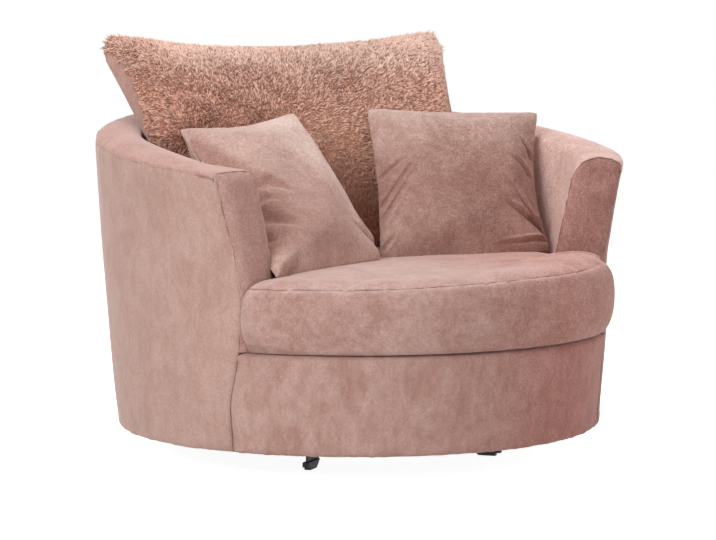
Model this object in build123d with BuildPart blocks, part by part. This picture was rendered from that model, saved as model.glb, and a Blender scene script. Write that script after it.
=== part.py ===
from build123d import *
from math import atan, cos, degrees, hypot, radians, sin, sqrt, tan
import os

os.makedirs("parts", exist_ok=True)

# A round swivel armchair. Millimetres, +Z up, floor at Z 0, swivel axis on Z, open front toward -Y.

# Tub, measured on the outside cloth
rim_r = 610.0  # radius at the rim seam
hem_in = 49.0  # the hem stands this far inside the rim
hem_z = 68.0  # hem above the floor
rim_z = 711.0  # rim seam above the floor, on the swivel axis
rim_rise = 6.26  # degrees, the rim climbs toward the back
rim_crown = 24.0  # stuffing above the rim seam
rim_spare = 40.0  # wall pieces run this far past the rim before it cuts them
side_bow = 5.0  # how far the outside wall swells past a straight line
mouth_half = 56.6  # degrees from the front to the end of each arm
arm_splay = 16.6  # degrees, the arm fronts turn toward the sitter
rim_w = 110.0  # width of the stuffed rim
wall_lean = 10.0  # the inside cloth comes in this far from rim to seat
cover_t = 14.0  # outside cloth with its wadding
pad_t = 22.0  # inside cloth with its foam
pad_swell = 7.0  # inside foam standing proud
tuck_w = 28.0  # cloth turned under the base board
tuck_t = 2.0
hem_roll = 22.0  # height of the rounded hem

# Seat
seat_z = 288.0  # underside of the loose seat cushion
seat_side_h = 146.0  # height of the cushion's sewn border
seat_crown = 25.0  # top panel above the border seam
seat_set = 33.0  # front seam of the cushion, in from the rim's circle
seat_flat_r = 150.0  # middle of the top panel, where it is level
seat_swell = 19.0  # border standing proud of its seams
seat_round = 40.0  # plan corners of the cushion
deck_t = 30.0
lay_gap = 0.6  # between loose cushions and what they lie on
wall_gap = 6.0  # between loose cushions and the tub
fit_gap = 0.5  # between timber, foam and cloth

# Timber
ply_t = 18.0
bend_ply_t = 6.0
web_t = 2.0
web_w = 60.0
web_pitch = 115.0
ring_w = 112.0  # width of the seat ring
rib_ledge = 20.0  # seat ring past the foot of a rib
rib_angles = [76.0, 111.0, 146.0, 180.0, -146.0, -111.0, -76.0]
front_rib_angles = [-28.0, 0.0, 28.0]
face_top_t = 16.0  # arm front padding at the rim
face_foot_t = 41.0  # and at the seat

# Swivel base
bar_t = 5.0
bar_h = 30.0
bar_in = 219.0  # bar ends, in from the hem's circle
toe_len = 54.0  # level end of a bar
toe_slope = 38.0  # and the slope before it
toe_z = 10.0  # underside of a bar end, inside its glide
glide_len = 40.0
glide_w = 15.0
glide_h = 18.0
glide_lip = 12.0
glide_lip_z = 7.0
glide_back = 4.0  # sole of a glide, back from the bar's end
glide_slope = 22.0
plate_t = 2.5
plate_r = 160.0
race_in = 50.0  # ball race, in from the plate's edge
ball_d = 8.0
ball_count = 12
groove_depth = 0.5
ball_gap = 0.05
stud_d = 12.0
stud_gap = 0.05
screw_in = 16.0  # screw circle, in from the plate's edge
screw_d = 5.0
screw_head_d = 10.0
screw_len = 16.0

# Loose cushions
back_in = 160.0  # top corners of the back cushion, in from the rim's circle
back_taper = 128.0  # half width lost from top to foot
back_over = 227.0  # top edge above the rim
back_ear = 26.0  # top corners above the middle of the top edge
back_lean = 50.0  # top edge, in from the inside cloth
back_foot_in = 46.0  # foot, further in from the wall than the middle
back_share = 0.58  # thickness of the back cushion to the inside radius
back_foot_share = 0.34
back_edge_t = 24.0
scatter_share = 0.3  # thickness of a scatter cushion to the inside radius
scatter_edge_t = 12.0
scatter_draw = 10.0

# Radii and widths worked out from the sizes above
hem_r = rim_r - hem_in
inner_rim_r = rim_r - rim_w
inner_seat_r = inner_rim_r - wall_lean
seat_front_r = rim_r - seat_set
core_in_foot = inner_seat_r + pad_t + fit_gap
core_in_top = inner_rim_r + pad_t + fit_gap
ring_in_r = core_in_foot - fit_gap - ring_w
rib_in_r = ring_in_r + rib_ledge
bar_reach = hem_r - bar_in
race_r = plate_r - race_in
screw_r = plate_r - screw_in
back_half_top = rim_r - back_in
back_half_foot = back_half_top - back_taper
back_top_z = rim_z + back_over
back_top_y = inner_rim_r - back_lean
back_plump = back_share * inner_rim_r
back_foot_plump = back_foot_share * inner_rim_r
scatter_plump = scatter_share * inner_rim_r

# Levels worked out from the sizes above
board_z = hem_z + tuck_t
board_top = board_z + ply_t
deck_top = seat_z - lay_gap
deck_z = deck_top - deck_t
web_z = deck_z - 2 * web_t
ring_z = web_z - ply_t
seat_seam_z = seat_z + seat_side_h
seat_top_z = seat_seam_z + seat_crown
lower_plate_z = board_z - 2 * plate_t - (ball_d - 2 * groove_depth)
ball_z = lower_plate_z + plate_t - groove_depth + ball_d / 2
upper_plate_z = board_z - plate_t
bar_z = lower_plate_z - bar_h
rim_back_z = rim_z + rim_r * tan(radians(rim_rise))
wall_top = rim_back_z + rim_spare
flare = (rim_r - hem_r) / (rim_back_z - hem_z)
board_r = hem_r - cover_t
rim_plane = Plane(
    origin=(0, 0, rim_z),
    x_dir=(1, 0, 0),
    z_dir=(0, -sin(radians(rim_rise)), cos(radians(rim_rise))),
)
rail_plane = rim_plane.offset(-ply_t)


def out_r(z):
    # Straight-line radius of the outside cloth at a height
    return hem_r + flare * (z - hem_z)


def core_r(z):
    # Radius of the back of that cloth, where the timber starts
    share = (z - board_top) / (wall_top - board_top)
    return board_r + (out_r(wall_top) - cover_t - board_r) * share


def mouth_apex(step):
    # Where the two arm-front planes meet on the centre line, moved forward by step
    corner_y = -rim_r * cos(radians(mouth_half))
    lean_in = rim_r * sin(radians(mouth_half)) * tan(radians(arm_splay))
    return corner_y + lean_in - step / cos(radians(arm_splay))


def mouth_point(step, radius):
    # Point on the right arm-front plane at a given distance from the swivel axis
    apex = mouth_apex(step)
    slope = tan(radians(arm_splay))
    a = 1 + slope**2
    b = -2 * apex * slope
    c = apex**2 - radius**2
    x = (-b + sqrt(b**2 - 4 * a * c)) / (2 * a)
    return (x, apex - slope * x)


def mouth(step):
    # Plan of everything in front of the arm-front planes
    far = 2 * rim_r
    drop = far * tan(radians(arm_splay))
    apex = mouth_apex(step)
    with BuildSketch() as plan:
        with BuildLine():
            Polyline(
                (0, apex),
                (far, apex - drop),
                (far, apex - drop - far),
                (-far, apex - drop - far),
                (-far, apex - drop),
                close=True,
            )
        make_face()
    return plan.sketch


def radial_plane(angle):
    # Upright plane through the swivel axis, angle measured from the front
    a = radians(angle)
    return Plane(
        origin=(0, 0, 0),
        x_dir=(sin(a), -cos(a), 0),
        z_dir=(-cos(a), -sin(a), 0),
    )


def dome_z(radius):
    # Height of the seat cushion's top at a distance from the axis
    run = seat_front_r - seat_flat_r
    bend_r = (run**2 + seat_crown**2) / (2 * seat_crown)
    return seat_top_z - bend_r + sqrt(bend_r**2 - max(0, radius - seat_flat_r) ** 2)


def seat_plan(front, back, step):
    # Plan of the seat cushion: a round front, ears before the arms, a round back
    px, py = mouth_point(step, front)
    qx, qy = mouth_point(step, back)
    with BuildSketch() as plan:
        with BuildLine():
            ThreePointArc((-px, py), (0, -front), (px, py))
            Line((px, py), (qx, qy))
            ThreePointArc((qx, qy), (back * cos(0.5), back * sin(0.5)), (0, back))
            ThreePointArc((0, back), (-back * cos(0.5), back * sin(0.5)), (-qx, qy))
            Line((-qx, qy), (-px, py))
        make_face()
        corners = plan.vertices().sort_by(Axis.Y)
        fillet(corners[:2], seat_round)
    return plan.sketch


def bar_plane(turn):
    # Upright plane along one bar
    return Plane(
        origin=(0, 0, 0),
        x_dir=(cos(turn), sin(turn), 0),
        z_dir=(sin(turn), -cos(turn), 0),
    )


# Flat steel bars on edge cross at the middle and carry the swivel
def bar(turn, notch_z):
    upright = bar_plane(turn)
    with BuildPart() as piece:
        with BuildSketch(upright):
            with BuildLine():
                Polyline(
                    (0, bar_z),
                    (bar_reach - toe_len - toe_slope, bar_z),
                    (bar_reach - toe_len, toe_z),
                    (bar_reach, toe_z),
                    (bar_reach, bar_z + bar_h / 2),
                    (bar_reach - toe_len, bar_z + bar_h),
                    (0, bar_z + bar_h),
                    close=True,
                )
            make_face()
            mirror(about=Plane.YZ)
        extrude(amount=bar_t / 2, both=True)
        with BuildSketch(upright):
            with Locations((0, notch_z + bar_h / 4)):
                Rectangle(bar_t, bar_h / 2)
        extrude(amount=bar_t, both=True, mode=Mode.SUBTRACT)
    return piece.part


cross_bar_a = bar(radians(45), bar_z + bar_h / 2)
cross_bar_a.label = "cross_bar_a"
export_step(cross_bar_a, "parts/cross_bar_a.step")

cross_bar_b = bar(radians(135), bar_z)
cross_bar_b.label = "cross_bar_b"
export_step(cross_bar_b, "parts/cross_bar_b.step")

# A moulded glide grips each bar end
sole_end = bar_reach - glide_back
with BuildPart() as floor_glides:
    for k in range(4):
        upright = bar_plane(radians(45 + 90 * k))
        with BuildSketch(upright):
            with BuildLine():
                Polyline(
                    (sole_end - glide_len, 0),
                    (sole_end, 0),
                    (sole_end, glide_lip_z),
                    (sole_end + glide_lip, glide_lip_z),
                    (sole_end + glide_lip, glide_h),
                    (sole_end - glide_len - glide_slope, glide_h),
                    close=True,
                )
            make_face()
        extrude(amount=glide_w / 2, both=True)
        with BuildSketch(upright):
            with BuildLine():
                Polyline(
                    (bar_reach - toe_len, toe_z),
                    (bar_reach, toe_z),
                    (bar_reach, 2 * glide_h),
                    (bar_reach - toe_len - 2 * toe_slope * glide_h / (bar_z - toe_z), toe_z + 2 * glide_h),
                    close=True,
                )
            make_face()
        extrude(amount=bar_t / 2, both=True, mode=Mode.SUBTRACT)
floor_glides.part.label = "floor_glides"
export_step(floor_glides.part, "parts/floor_glides.step")

# Lower swivel plate with its ball groove and driver holes
with BuildPart() as lower_plate:
    with BuildSketch(Plane.XY.offset(lower_plate_z)):
        Circle(plate_r)
        with PolarLocations(screw_r, 4):
            Circle(screw_head_d / 2 + 1, mode=Mode.SUBTRACT)
    extrude(amount=plate_t)
    with BuildSketch(Plane.XZ):
        with Locations((race_r, ball_z)):
            Circle(ball_d / 2 + ball_gap)
    revolve(axis=Axis.Z, mode=Mode.SUBTRACT)
lower_plate.part.label = "lower_plate"
export_step(lower_plate.part, "parts/lower_plate.step")

with BuildPart() as pivot_stud:
    with BuildSketch(Plane.XY.offset(lower_plate_z + plate_t)):
        Circle(stud_d / 2)
    extrude(amount=board_top - lower_plate_z - plate_t)
    chamfer(pivot_stud.faces().sort_by(Axis.Z)[-1].edges(), 1.0)
pivot_stud.part.label = "pivot_stud"
export_step(pivot_stud.part, "parts/pivot_stud.step")

with BuildPart() as pivot_washer:
    with BuildSketch(Plane.XY.offset(board_z + 2 * stud_gap)):
        Circle(1.35 * stud_d)
        Circle(stud_d / 2, mode=Mode.SUBTRACT)
    extrude(amount=plate_t)
pivot_washer.part.label = "pivot_washer"
export_step(pivot_washer.part, "parts/pivot_washer.step")

with BuildPart() as pivot_nut:
    with BuildSketch(Plane.XY.offset(board_z + 2 * stud_gap + plate_t)):
        RegularPolygon(radius=0.79 * stud_d, side_count=6, major_radius=False)
        Circle(stud_d / 2, mode=Mode.SUBTRACT)
    extrude(amount=0.8 * stud_d)
pivot_nut.part.label = "pivot_nut"
export_step(pivot_nut.part, "parts/pivot_nut.step")

# Ring of balls in a cage
with BuildPart() as ball_cage:
    with BuildSketch(Plane.XY.offset(ball_z - 1.2)):
        Circle(race_r + 1.5 * ball_d)
        Circle(race_r - 1.5 * ball_d, mode=Mode.SUBTRACT)
        with PolarLocations(race_r, ball_count):
            Circle(ball_d / 2 + 2 * ball_gap, mode=Mode.SUBTRACT)
    extrude(amount=2.4)
ball_cage.part.label = "ball_cage"
export_step(ball_cage.part, "parts/ball_cage.step")

with BuildPart() as bearing_balls:
    with Locations((0, 0, ball_z)):
        with PolarLocations(race_r, ball_count):
            Sphere(ball_d / 2)
bearing_balls.part.label = "bearing_balls"
export_step(bearing_balls.part, "parts/bearing_balls.step")

on_base = (Align.CENTER, Align.CENTER, Align.MIN)

# Upper swivel plate, countersunk from below, turns with the tub
with BuildPart() as upper_plate:
    with BuildSketch(Plane.XY.offset(upper_plate_z)):
        Circle(plate_r)
        Circle(stud_d / 2 + stud_gap, mode=Mode.SUBTRACT)
    extrude(amount=plate_t)
    with BuildSketch(Plane.XZ):
        with Locations((race_r, ball_z)):
            Circle(ball_d / 2 + ball_gap)
    revolve(axis=Axis.Z, mode=Mode.SUBTRACT)
    with Locations((0, 0, upper_plate_z)):
        with PolarLocations(screw_r, 4):
            Cone(screw_head_d / 2, screw_d / 2, plate_t, align=on_base, mode=Mode.SUBTRACT)
upper_plate.part.label = "upper_plate"
export_step(upper_plate.part, "parts/upper_plate.step")

with BuildPart() as plate_screws:
    with Locations((0, 0, upper_plate_z)):
        with PolarLocations(screw_r, 4):
            Cone(screw_head_d / 2, screw_d / 2, plate_t, align=on_base)
    with Locations((0, 0, board_z)):
        with PolarLocations(screw_r, 4):
            Cylinder(screw_d / 2, screw_len, align=on_base)
plate_screws.part.label = "plate_screws"
export_step(plate_screws.part, "parts/plate_screws.step")

# Plywood base board: rim, cross and hub left between four openings
with BuildPart() as base_board:
    with BuildSketch(Plane.XY.offset(board_z)):
        Circle(board_r)
        Circle(2 * stud_d, mode=Mode.SUBTRACT)
        with PolarLocations(screw_r, 4):
            Circle(screw_d / 2, mode=Mode.SUBTRACT)
    extrude(amount=ply_t)
    with BuildSketch(Plane.XY.offset(board_z)):
        Circle(rib_in_r - ply_t)
        Circle(plate_r + 3 * ply_t, mode=Mode.SUBTRACT)
        Rectangle(2 * rim_r, 6 * ply_t, mode=Mode.SUBTRACT)
        Rectangle(6 * ply_t, 2 * rim_r, mode=Mode.SUBTRACT)
        fillet(vertices(), ply_t)
    extrude(amount=ply_t, mode=Mode.SUBTRACT)
base_board.part.label = "base_board"
export_step(base_board.part, "parts/base_board.step")

# Plywood ribs stand round the back and sides, each with a ledge for the seat ring
def core_in_r(z):
    return core_in_foot + (core_in_top - core_in_foot) * (z - ring_z) / (wall_top - ring_z)


def rib(angle, top_z, skin):
    with BuildPart() as piece:
        with BuildSketch(radial_plane(angle)):
            with BuildLine():
                Polyline(
                    (rib_in_r, board_top),
                    (core_r(board_top) - skin, board_top),
                    (core_r(top_z) - skin, top_z),
                    (core_in_r(top_z), top_z),
                    (core_in_foot, ring_z),
                    (rib_in_r, ring_z),
                    close=True,
                )
            make_face()
        extrude(amount=ply_t / 2, both=True)
    return piece.part


with BuildPart() as wall_ribs:
    for angle in rib_angles:
        add(rib(angle, wall_top, fit_gap))
    split(bisect_by=rail_plane, keep=Keep.BOTTOM)
wall_ribs.part.label = "wall_ribs"
export_step(wall_ribs.part, "parts/wall_ribs.step")

with BuildPart() as front_ribs:
    for angle in front_rib_angles:
        add(rib(angle, deck_z, bend_ply_t + fit_gap))
front_ribs.part.label = "front_ribs"
export_step(front_ribs.part, "parts/front_ribs.step")

# End boards close the timber wall behind each arm front
with BuildPart() as arm_posts:
    with BuildSketch(Plane.XZ):
        with BuildLine():
            Polyline(
                (core_in_foot, board_top),
                (core_r(board_top) - fit_gap, board_top),
                (core_r(wall_top) - fit_gap, wall_top),
                (core_in_top, wall_top),
                (core_in_foot, ring_z),
                close=True,
            )
        make_face()
    revolve(axis=Axis.Z)
    extrude(mouth(-ply_t), amount=wall_top, mode=Mode.INTERSECT)
    extrude(mouth(0), amount=wall_top, mode=Mode.SUBTRACT)
    split(bisect_by=rim_plane, keep=Keep.BOTTOM)
arm_posts.part.label = "arm_posts"
export_step(arm_posts.part, "parts/arm_posts.step")

# Sloping top rail on the ribs, from post to post
with BuildPart() as top_rail:
    with BuildSketch(rail_plane):
        Circle(rim_r - cover_t - 2 * bend_ply_t)
        Circle(core_in_top + 2, mode=Mode.SUBTRACT)
    extrude(amount=ply_t)
    extrude(mouth(-ply_t), amount=wall_top, mode=Mode.SUBTRACT)
top_rail.part.label = "top_rail"
export_step(top_rail.part, "parts/top_rail.step")

# Seat ring on the rib ledges, with crossed elastic webbing over it
with BuildPart() as seat_ring:
    with BuildSketch(Plane.XY.offset(ring_z)):
        Circle(core_in_foot - fit_gap)
        Circle(ring_in_r, mode=Mode.SUBTRACT)
    extrude(amount=ply_t)
seat_ring.part.label = "seat_ring"
export_step(seat_ring.part, "parts/seat_ring.step")

web_reach = ring_in_r + 0.75 * web_w


def strap_rows():
    return [web_pitch * k for k in (-2, -1, 0, 1, 2)]


with BuildPart() as webbing_long:
    for x in strap_rows():
        half = sqrt(web_reach**2 - x**2)
        with BuildSketch(Plane.XY.offset(web_z)):
            with Locations((x, 0)):
                Rectangle(web_w, 2 * half)
        extrude(amount=web_t)
webbing_long.part.label = "webbing_long"
export_step(webbing_long.part, "parts/webbing_long.step")

with BuildPart() as webbing_cross:
    for y in strap_rows():
        half = sqrt(web_reach**2 - y**2)
        with BuildSketch(Plane.XY.offset(web_z + web_t)):
            with Locations((0, y)):
                Rectangle(2 * half, web_w)
        extrude(amount=web_t)
webbing_cross.part.label = "webbing_cross"
export_step(webbing_cross.part, "parts/webbing_cross.step")

# Foam deck under the loose seat cushion
with BuildPart() as seat_deck:
    with BuildSketch(Plane.XY.offset(deck_z)):
        Circle(core_r(deck_z) - fit_gap)
    extrude(amount=deck_t)
    extrude(mouth(0), amount=seat_z, mode=Mode.INTERSECT)
    with BuildSketch(Plane.XY.offset(deck_z)):
        Circle(inner_seat_r - pad_swell - fit_gap)
    extrude(amount=deck_t)
seat_deck.part.label = "seat_deck"
export_step(seat_deck.part, "parts/seat_deck.step")

# Bent plywood behind the front of the plinth
with BuildPart() as plinth_board:
    with BuildSketch(Plane.XZ):
        with BuildLine():
            Polyline(
                (core_r(board_top) - bend_ply_t, board_top),
                (core_r(board_top), board_top),
                (core_r(deck_z), deck_z),
                (core_r(deck_z) - bend_ply_t, deck_z),
                close=True,
            )
        make_face()
    revolve(axis=Axis.Z)
    extrude(mouth(0), amount=wall_top, mode=Mode.INTERSECT)
plinth_board.part.label = "plinth_board"
export_step(plinth_board.part, "parts/plinth_board.step")

# Outside cloth with its wadding, tucked under at the hem
def side_curve(top_z):
    # Three points of the outside wall, from above the hem roll upward
    foot_z = hem_z + hem_roll
    mid_z = (foot_z + top_z) / 2
    swell = side_bow * (top_z - foot_z) / (wall_top - foot_z)
    return (out_r(foot_z), foot_z), (out_r(mid_z) + swell, mid_z), (out_r(top_z), top_z)


def cloth_ring(top_z):
    foot, mid, top = side_curve(top_z)
    with BuildPart() as ring:
        with BuildSketch(Plane.XZ):
            with BuildLine():
                Line((board_r - tuck_w, hem_z), (board_r + 1, hem_z))
                RadiusArc((board_r + 1, hem_z), foot, -1.25 * hem_roll)
                ThreePointArc(foot, mid, top)
                Line((out_r(top_z), top_z), (core_r(top_z), top_z))
                Line((core_r(top_z), top_z), (board_r, board_top))
                Line((board_r, board_top), (board_r, board_z))
                Line((board_r, board_z), (board_r - tuck_w, board_z))
                Line((board_r - tuck_w, board_z), (board_r - tuck_w, hem_z))
            make_face()
        revolve(axis=Axis.Z)
    return ring.part


with BuildPart() as outside_cover:
    add(cloth_ring(wall_top))
    extrude(mouth(0), amount=wall_top, mode=Mode.SUBTRACT)
    split(bisect_by=rim_plane, keep=Keep.BOTTOM)
outside_cover.part.label = "outside_cover"
export_step(outside_cover.part, "parts/outside_cover.step")

with BuildPart() as plinth_cover:
    add(cloth_ring(deck_top))
    extrude(mouth(0), amount=wall_top, mode=Mode.INTERSECT)
plinth_cover.part.label = "plinth_cover"
export_step(plinth_cover.part, "parts/plinth_cover.step")

# Inside back and arms in one padded sweep
with BuildPart() as inside_pad:
    with BuildSketch(Plane.XZ):
        with BuildLine():
            mid_z = (seat_z + rim_z) / 2
            mid_r = (inner_seat_r + inner_rim_r) / 2 - pad_swell
            ThreePointArc((inner_seat_r, web_z), (mid_r, mid_z), (inner_rim_r, wall_top))
            Line((inner_rim_r, wall_top), (inner_rim_r + pad_t, wall_top))
            Line((inner_rim_r + pad_t, wall_top), (inner_seat_r + pad_t, web_z))
            Line((inner_seat_r + pad_t, web_z), (inner_seat_r, web_z))
        make_face()
    revolve(axis=Axis.Z)
    extrude(mouth(0), amount=wall_top, mode=Mode.SUBTRACT)
    split(bisect_by=rim_plane, keep=Keep.BOTTOM)
inside_pad.part.label = "inside_pad"
export_step(inside_pad.part, "parts/inside_pad.step")

# Stuffed rim over the wall
with BuildPart() as rim_pad:
    with BuildSketch(Plane(rim_plane.origin, x_dir=rim_plane.x_dir, z_dir=-rim_plane.y_dir)):
        with BuildLine():
            Line((inner_rim_r, 0), (rim_r, 0))
            Line((rim_r, 0), (rim_r, 3))
            ThreePointArc((rim_r, 3), ((rim_r + inner_rim_r) / 2, rim_crown), (inner_rim_r, 6))
            Line((inner_rim_r, 6), (inner_rim_r, 0))
        make_face()
    revolve(axis=Axis(rim_plane.origin, rim_plane.z_dir))
    extrude(mouth(0), amount=2 * wall_top, mode=Mode.SUBTRACT)
rim_pad.part.label = "rim_pad"
export_step(rim_pad.part, "parts/rim_pad.step")

# Thin cloth under the base board
with BuildPart() as dust_cover:
    with BuildSketch(Plane.XY.offset(board_z - 1)):
        Circle(board_r - tuck_w)
        Circle(plate_r + ply_t, mode=Mode.SUBTRACT)
    extrude(amount=1)
dust_cover.part.label = "dust_cover"
export_step(dust_cover.part, "parts/dust_cover.step")

# Padded arm fronts, a little thicker at the seat than at the rim
def face_x(radius):
    # Distance along an arm front from its outer top corner to a given radius
    cx, cy = mouth_point(0, rim_r)
    px, py = mouth_point(0, radius)
    return -hypot(px - cx, py - cy)


def arm_front(side):
    cx, cy = mouth_point(0, rim_r)
    a = radians(arm_splay)
    forward = (-side * sin(a), -cos(a), 0)
    along = (cos(a), -side * sin(a), 0)
    upright = Plane(origin=(side * cx, cy, 0), x_dir=along, z_dir=forward)
    top_out = rim_z + cy * tan(radians(rim_rise)) + 3
    top_in = top_out + 6
    out_foot, out_top = face_x(out_r(seat_z)), face_x(rim_r)
    in_foot, in_top = face_x(inner_seat_r), face_x(inner_rim_r)
    thick_top = top_out + rim_crown
    with BuildPart() as piece:
        with BuildSketch(upright):
            with BuildLine():
                Line((side * in_foot, deck_top), (side * out_foot, deck_top))
                Line((side * out_foot, deck_top), (side * out_top, top_out))
                ThreePointArc(
                    (side * out_top, top_out),
                    (side * (out_top + in_top) / 2, top_out + rim_crown - 3),
                    (side * in_top, top_in),
                )
                Line((side * in_top, top_in), (side * in_foot, deck_top))
            face = make_face()
            fillet(face.vertices().sort_by(Axis.Y)[2:], face_top_t)
        extrude(amount=face_foot_t)
        with BuildSketch(Plane(origin=(side * cx, cy, 0), x_dir=forward, z_dir=along)):
            with BuildLine():
                Polyline(
                    (face_foot_t, deck_top),
                    (face_top_t, thick_top),
                    (2 * face_foot_t, thick_top),
                    (2 * face_foot_t, deck_top),
                    close=True,
                )
            make_face()
        extrude(amount=rim_r, both=True, mode=Mode.SUBTRACT)
        foot, mid, top = side_curve(wall_top)
        with BuildSketch(Plane.XZ):
            with BuildLine():
                ThreePointArc(foot, mid, top)
                Polyline(top, (0, wall_top), (0, foot[1]), foot)
            make_face()
        revolve(axis=Axis.Z, mode=Mode.INTERSECT)
        front = piece.faces().sort_by(Axis(origin=(side * cx, cy, 0), direction=forward))[-1]
        rounded = front.edges().sort_by(Axis.Z)[1:]
        fillet(rounded, 0.6 * face_top_t)
    return piece.part


arm_front_left = arm_front(-1)
arm_front_left.label = "arm_front_left"
export_step(arm_front_left, "parts/arm_front_left.step")

arm_front_right = arm_front(1)
arm_front_right.label = "arm_front_right"
export_step(arm_front_right, "parts/arm_front_right.step")

# Loose seat cushion: swelling border between two seams, domed top panel
seat_step = face_foot_t + lay_gap
seat_back_r = inner_seat_r - pad_swell - wall_gap
seat_full_r = seat_front_r + seat_swell
with BuildPart() as seat_cushion:
    with BuildSketch(Plane.XY.offset(seat_z)):
        add(seat_plan(seat_full_r + wall_gap, seat_back_r, seat_step))
    extrude(amount=seat_side_h + 2 * seat_crown)
    with BuildSketch(Plane.XZ):
        with BuildLine():
            Line((0, seat_z), (seat_front_r, seat_z))
            ThreePointArc(
                (seat_front_r, seat_z),
                (seat_full_r, seat_z + seat_side_h / 2),
                (seat_front_r, seat_seam_z),
            )
            ThreePointArc(
                (seat_front_r, seat_seam_z),
                ((seat_front_r + seat_flat_r) / 2, dome_z((seat_front_r + seat_flat_r) / 2)),
                (seat_flat_r, seat_top_z),
            )
            Polyline((seat_flat_r, seat_top_z), (0, seat_top_z), (0, seat_z))
        make_face()
    revolve(axis=Axis.Z, mode=Mode.INTERSECT)
seat_cushion.part.label = "seat_cushion"
export_step(seat_cushion.part, "parts/seat_cushion.step")

# Large back cushion: hugs the round wall, leans back, top corners lie over the rim
back_hug_r = inner_rim_r - pad_swell - 2 * wall_gap
back_foot_hug_r = back_hug_r - back_foot_in
back_foot_z = dome_z(back_foot_hug_r - back_foot_plump) + lay_gap
hug_share = (rim_back_z - 2 * rim_crown - back_foot_z) / (back_top_z - back_foot_z)


def back_section(u):
    full = sqrt(1 - u * u)
    foot_x, top_x = back_half_foot * u, back_half_top * u
    top_z = back_top_z + back_ear * u * u
    rise, run = top_z - back_foot_z, top_x - foot_x
    slant = hypot(rise, run)
    mid_x = foot_x + run * hug_share
    foot_back = sqrt(back_foot_hug_r**2 - foot_x**2)
    mid_back = sqrt(back_hug_r**2 - mid_x**2)
    foot_t = back_edge_t + (back_foot_plump - back_edge_t) * full
    mid_t = back_edge_t + (back_plump - back_edge_t) * full
    top_t = back_edge_t / 2 + back_edge_t / 2 * full
    upright = Plane(origin=(foot_x, 0, back_foot_z), x_dir=(0, 1, 0), z_dir=(rise, 0, -run))
    with BuildSketch(upright) as section:
        with BuildLine():
            Line((foot_back, 0), (foot_back - foot_t, 0))
            ThreePointArc(
                (foot_back - foot_t, 0),
                (mid_back - mid_t, slant * hug_share),
                (back_top_y - top_t, slant),
            )
            Line((back_top_y - top_t, slant), (back_top_y + top_t, slant))
            ThreePointArc((back_top_y + top_t, slant), (mid_back, slant * hug_share), (foot_back, 0))
        make_face()
    return section.sketch


with BuildPart() as back_cushion:
    for u in (-1.0, -0.8, 0.0, 0.8, 1.0):
        add(back_section(u))
    loft()
back_cushion.part.label = "back_cushion"
export_step(back_cushion.part, "parts/back_cushion.step")


# Knife-edged scatter cushions, each leaning from four corners
def scatter(foot_a, foot_b, top_b, top_a):
    fa, fb, tb, ta = Vector(*foot_a), Vector(*foot_b), Vector(*top_b), Vector(*top_a)
    with BuildPart() as piece:
        for u in (0.0, 0.13, 0.5, 0.87, 1.0):
            pinch = 4 * u * (1 - u)
            foot, top = fa + (fb - fa) * u, ta + (tb - ta) * u
            up = (top - foot).normalized()
            foot, top = foot + up * scatter_draw * pinch, top - up * scatter_draw * pinch
            across = ((fb + tb) - (fa + ta)).normalized()
            out = across.cross(up).normalized()
            tall = (top - foot).length
            belly = scatter_edge_t / 2 + (scatter_plump - scatter_edge_t) / 2 * sqrt(pinch)
            edge = scatter_edge_t / 2
            with BuildSketch(Plane(origin=foot, x_dir=out, z_dir=out.cross(up))):
                with BuildLine():
                    Line((-edge, 0), (edge, 0))
                    ThreePointArc((edge, 0), (belly + edge, tall / 2), (edge, tall))
                    Line((edge, tall), (-edge, tall))
                    ThreePointArc((-edge, tall), (-belly - edge, tall / 2), (-edge, 0))
                make_face()
        loft()
    return piece.part


def on_seat(across, along):
    # A lower corner, as shares of the seat's front radius
    x, y = across * seat_front_r, along * seat_front_r
    return (x, y, dome_z(hypot(x, y)) + scatter_edge_t / 2)


def leaning(across, along, up):
    # An upper corner, as shares of the inside radius and of the rim's height
    return (across * inner_rim_r, along * inner_rim_r, up * rim_z)


def settled(cushion):
    # Lowered until it all but touches the seat cushion
    drop = cushion.distance_to(seat_cushion.part) - lay_gap
    return cushion.moved(Location((0, 0, -drop)))


scatter_right = scatter(
    on_seat(0.045, -0.121),
    on_seat(0.789, -0.13),
    leaning(0.972, 0.08, 1.0886),
    leaning(0.2, 0.3, 1.1069),
)
scatter_right = settled(scatter_right)
scatter_right.label = "scatter_cushion_right"
export_step(scatter_right, "parts/scatter_cushion_right.step")

scatter_left = scatter(
    on_seat(-0.607, -0.603),
    on_seat(-0.014, -0.173),
    leaning(-0.22, 0.21, 1.1041),
    leaning(-0.88, 0, 1.0619),
)
scatter_left = settled(scatter_left)
scatter_left.label = "scatter_cushion_left"
export_step(scatter_left, "parts/scatter_cushion_left.step")
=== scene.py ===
# %% [markdown]
# # A round swivel armchair in blush plush
#
# The chair is a drum of upholstery on a hidden swivel base, with a loose seat cushion, a big furry
# back cushion and two scatter cushions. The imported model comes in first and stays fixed: it says
# where each piece is and which body carries it. Everything made below is in metres in that frame.

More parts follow.
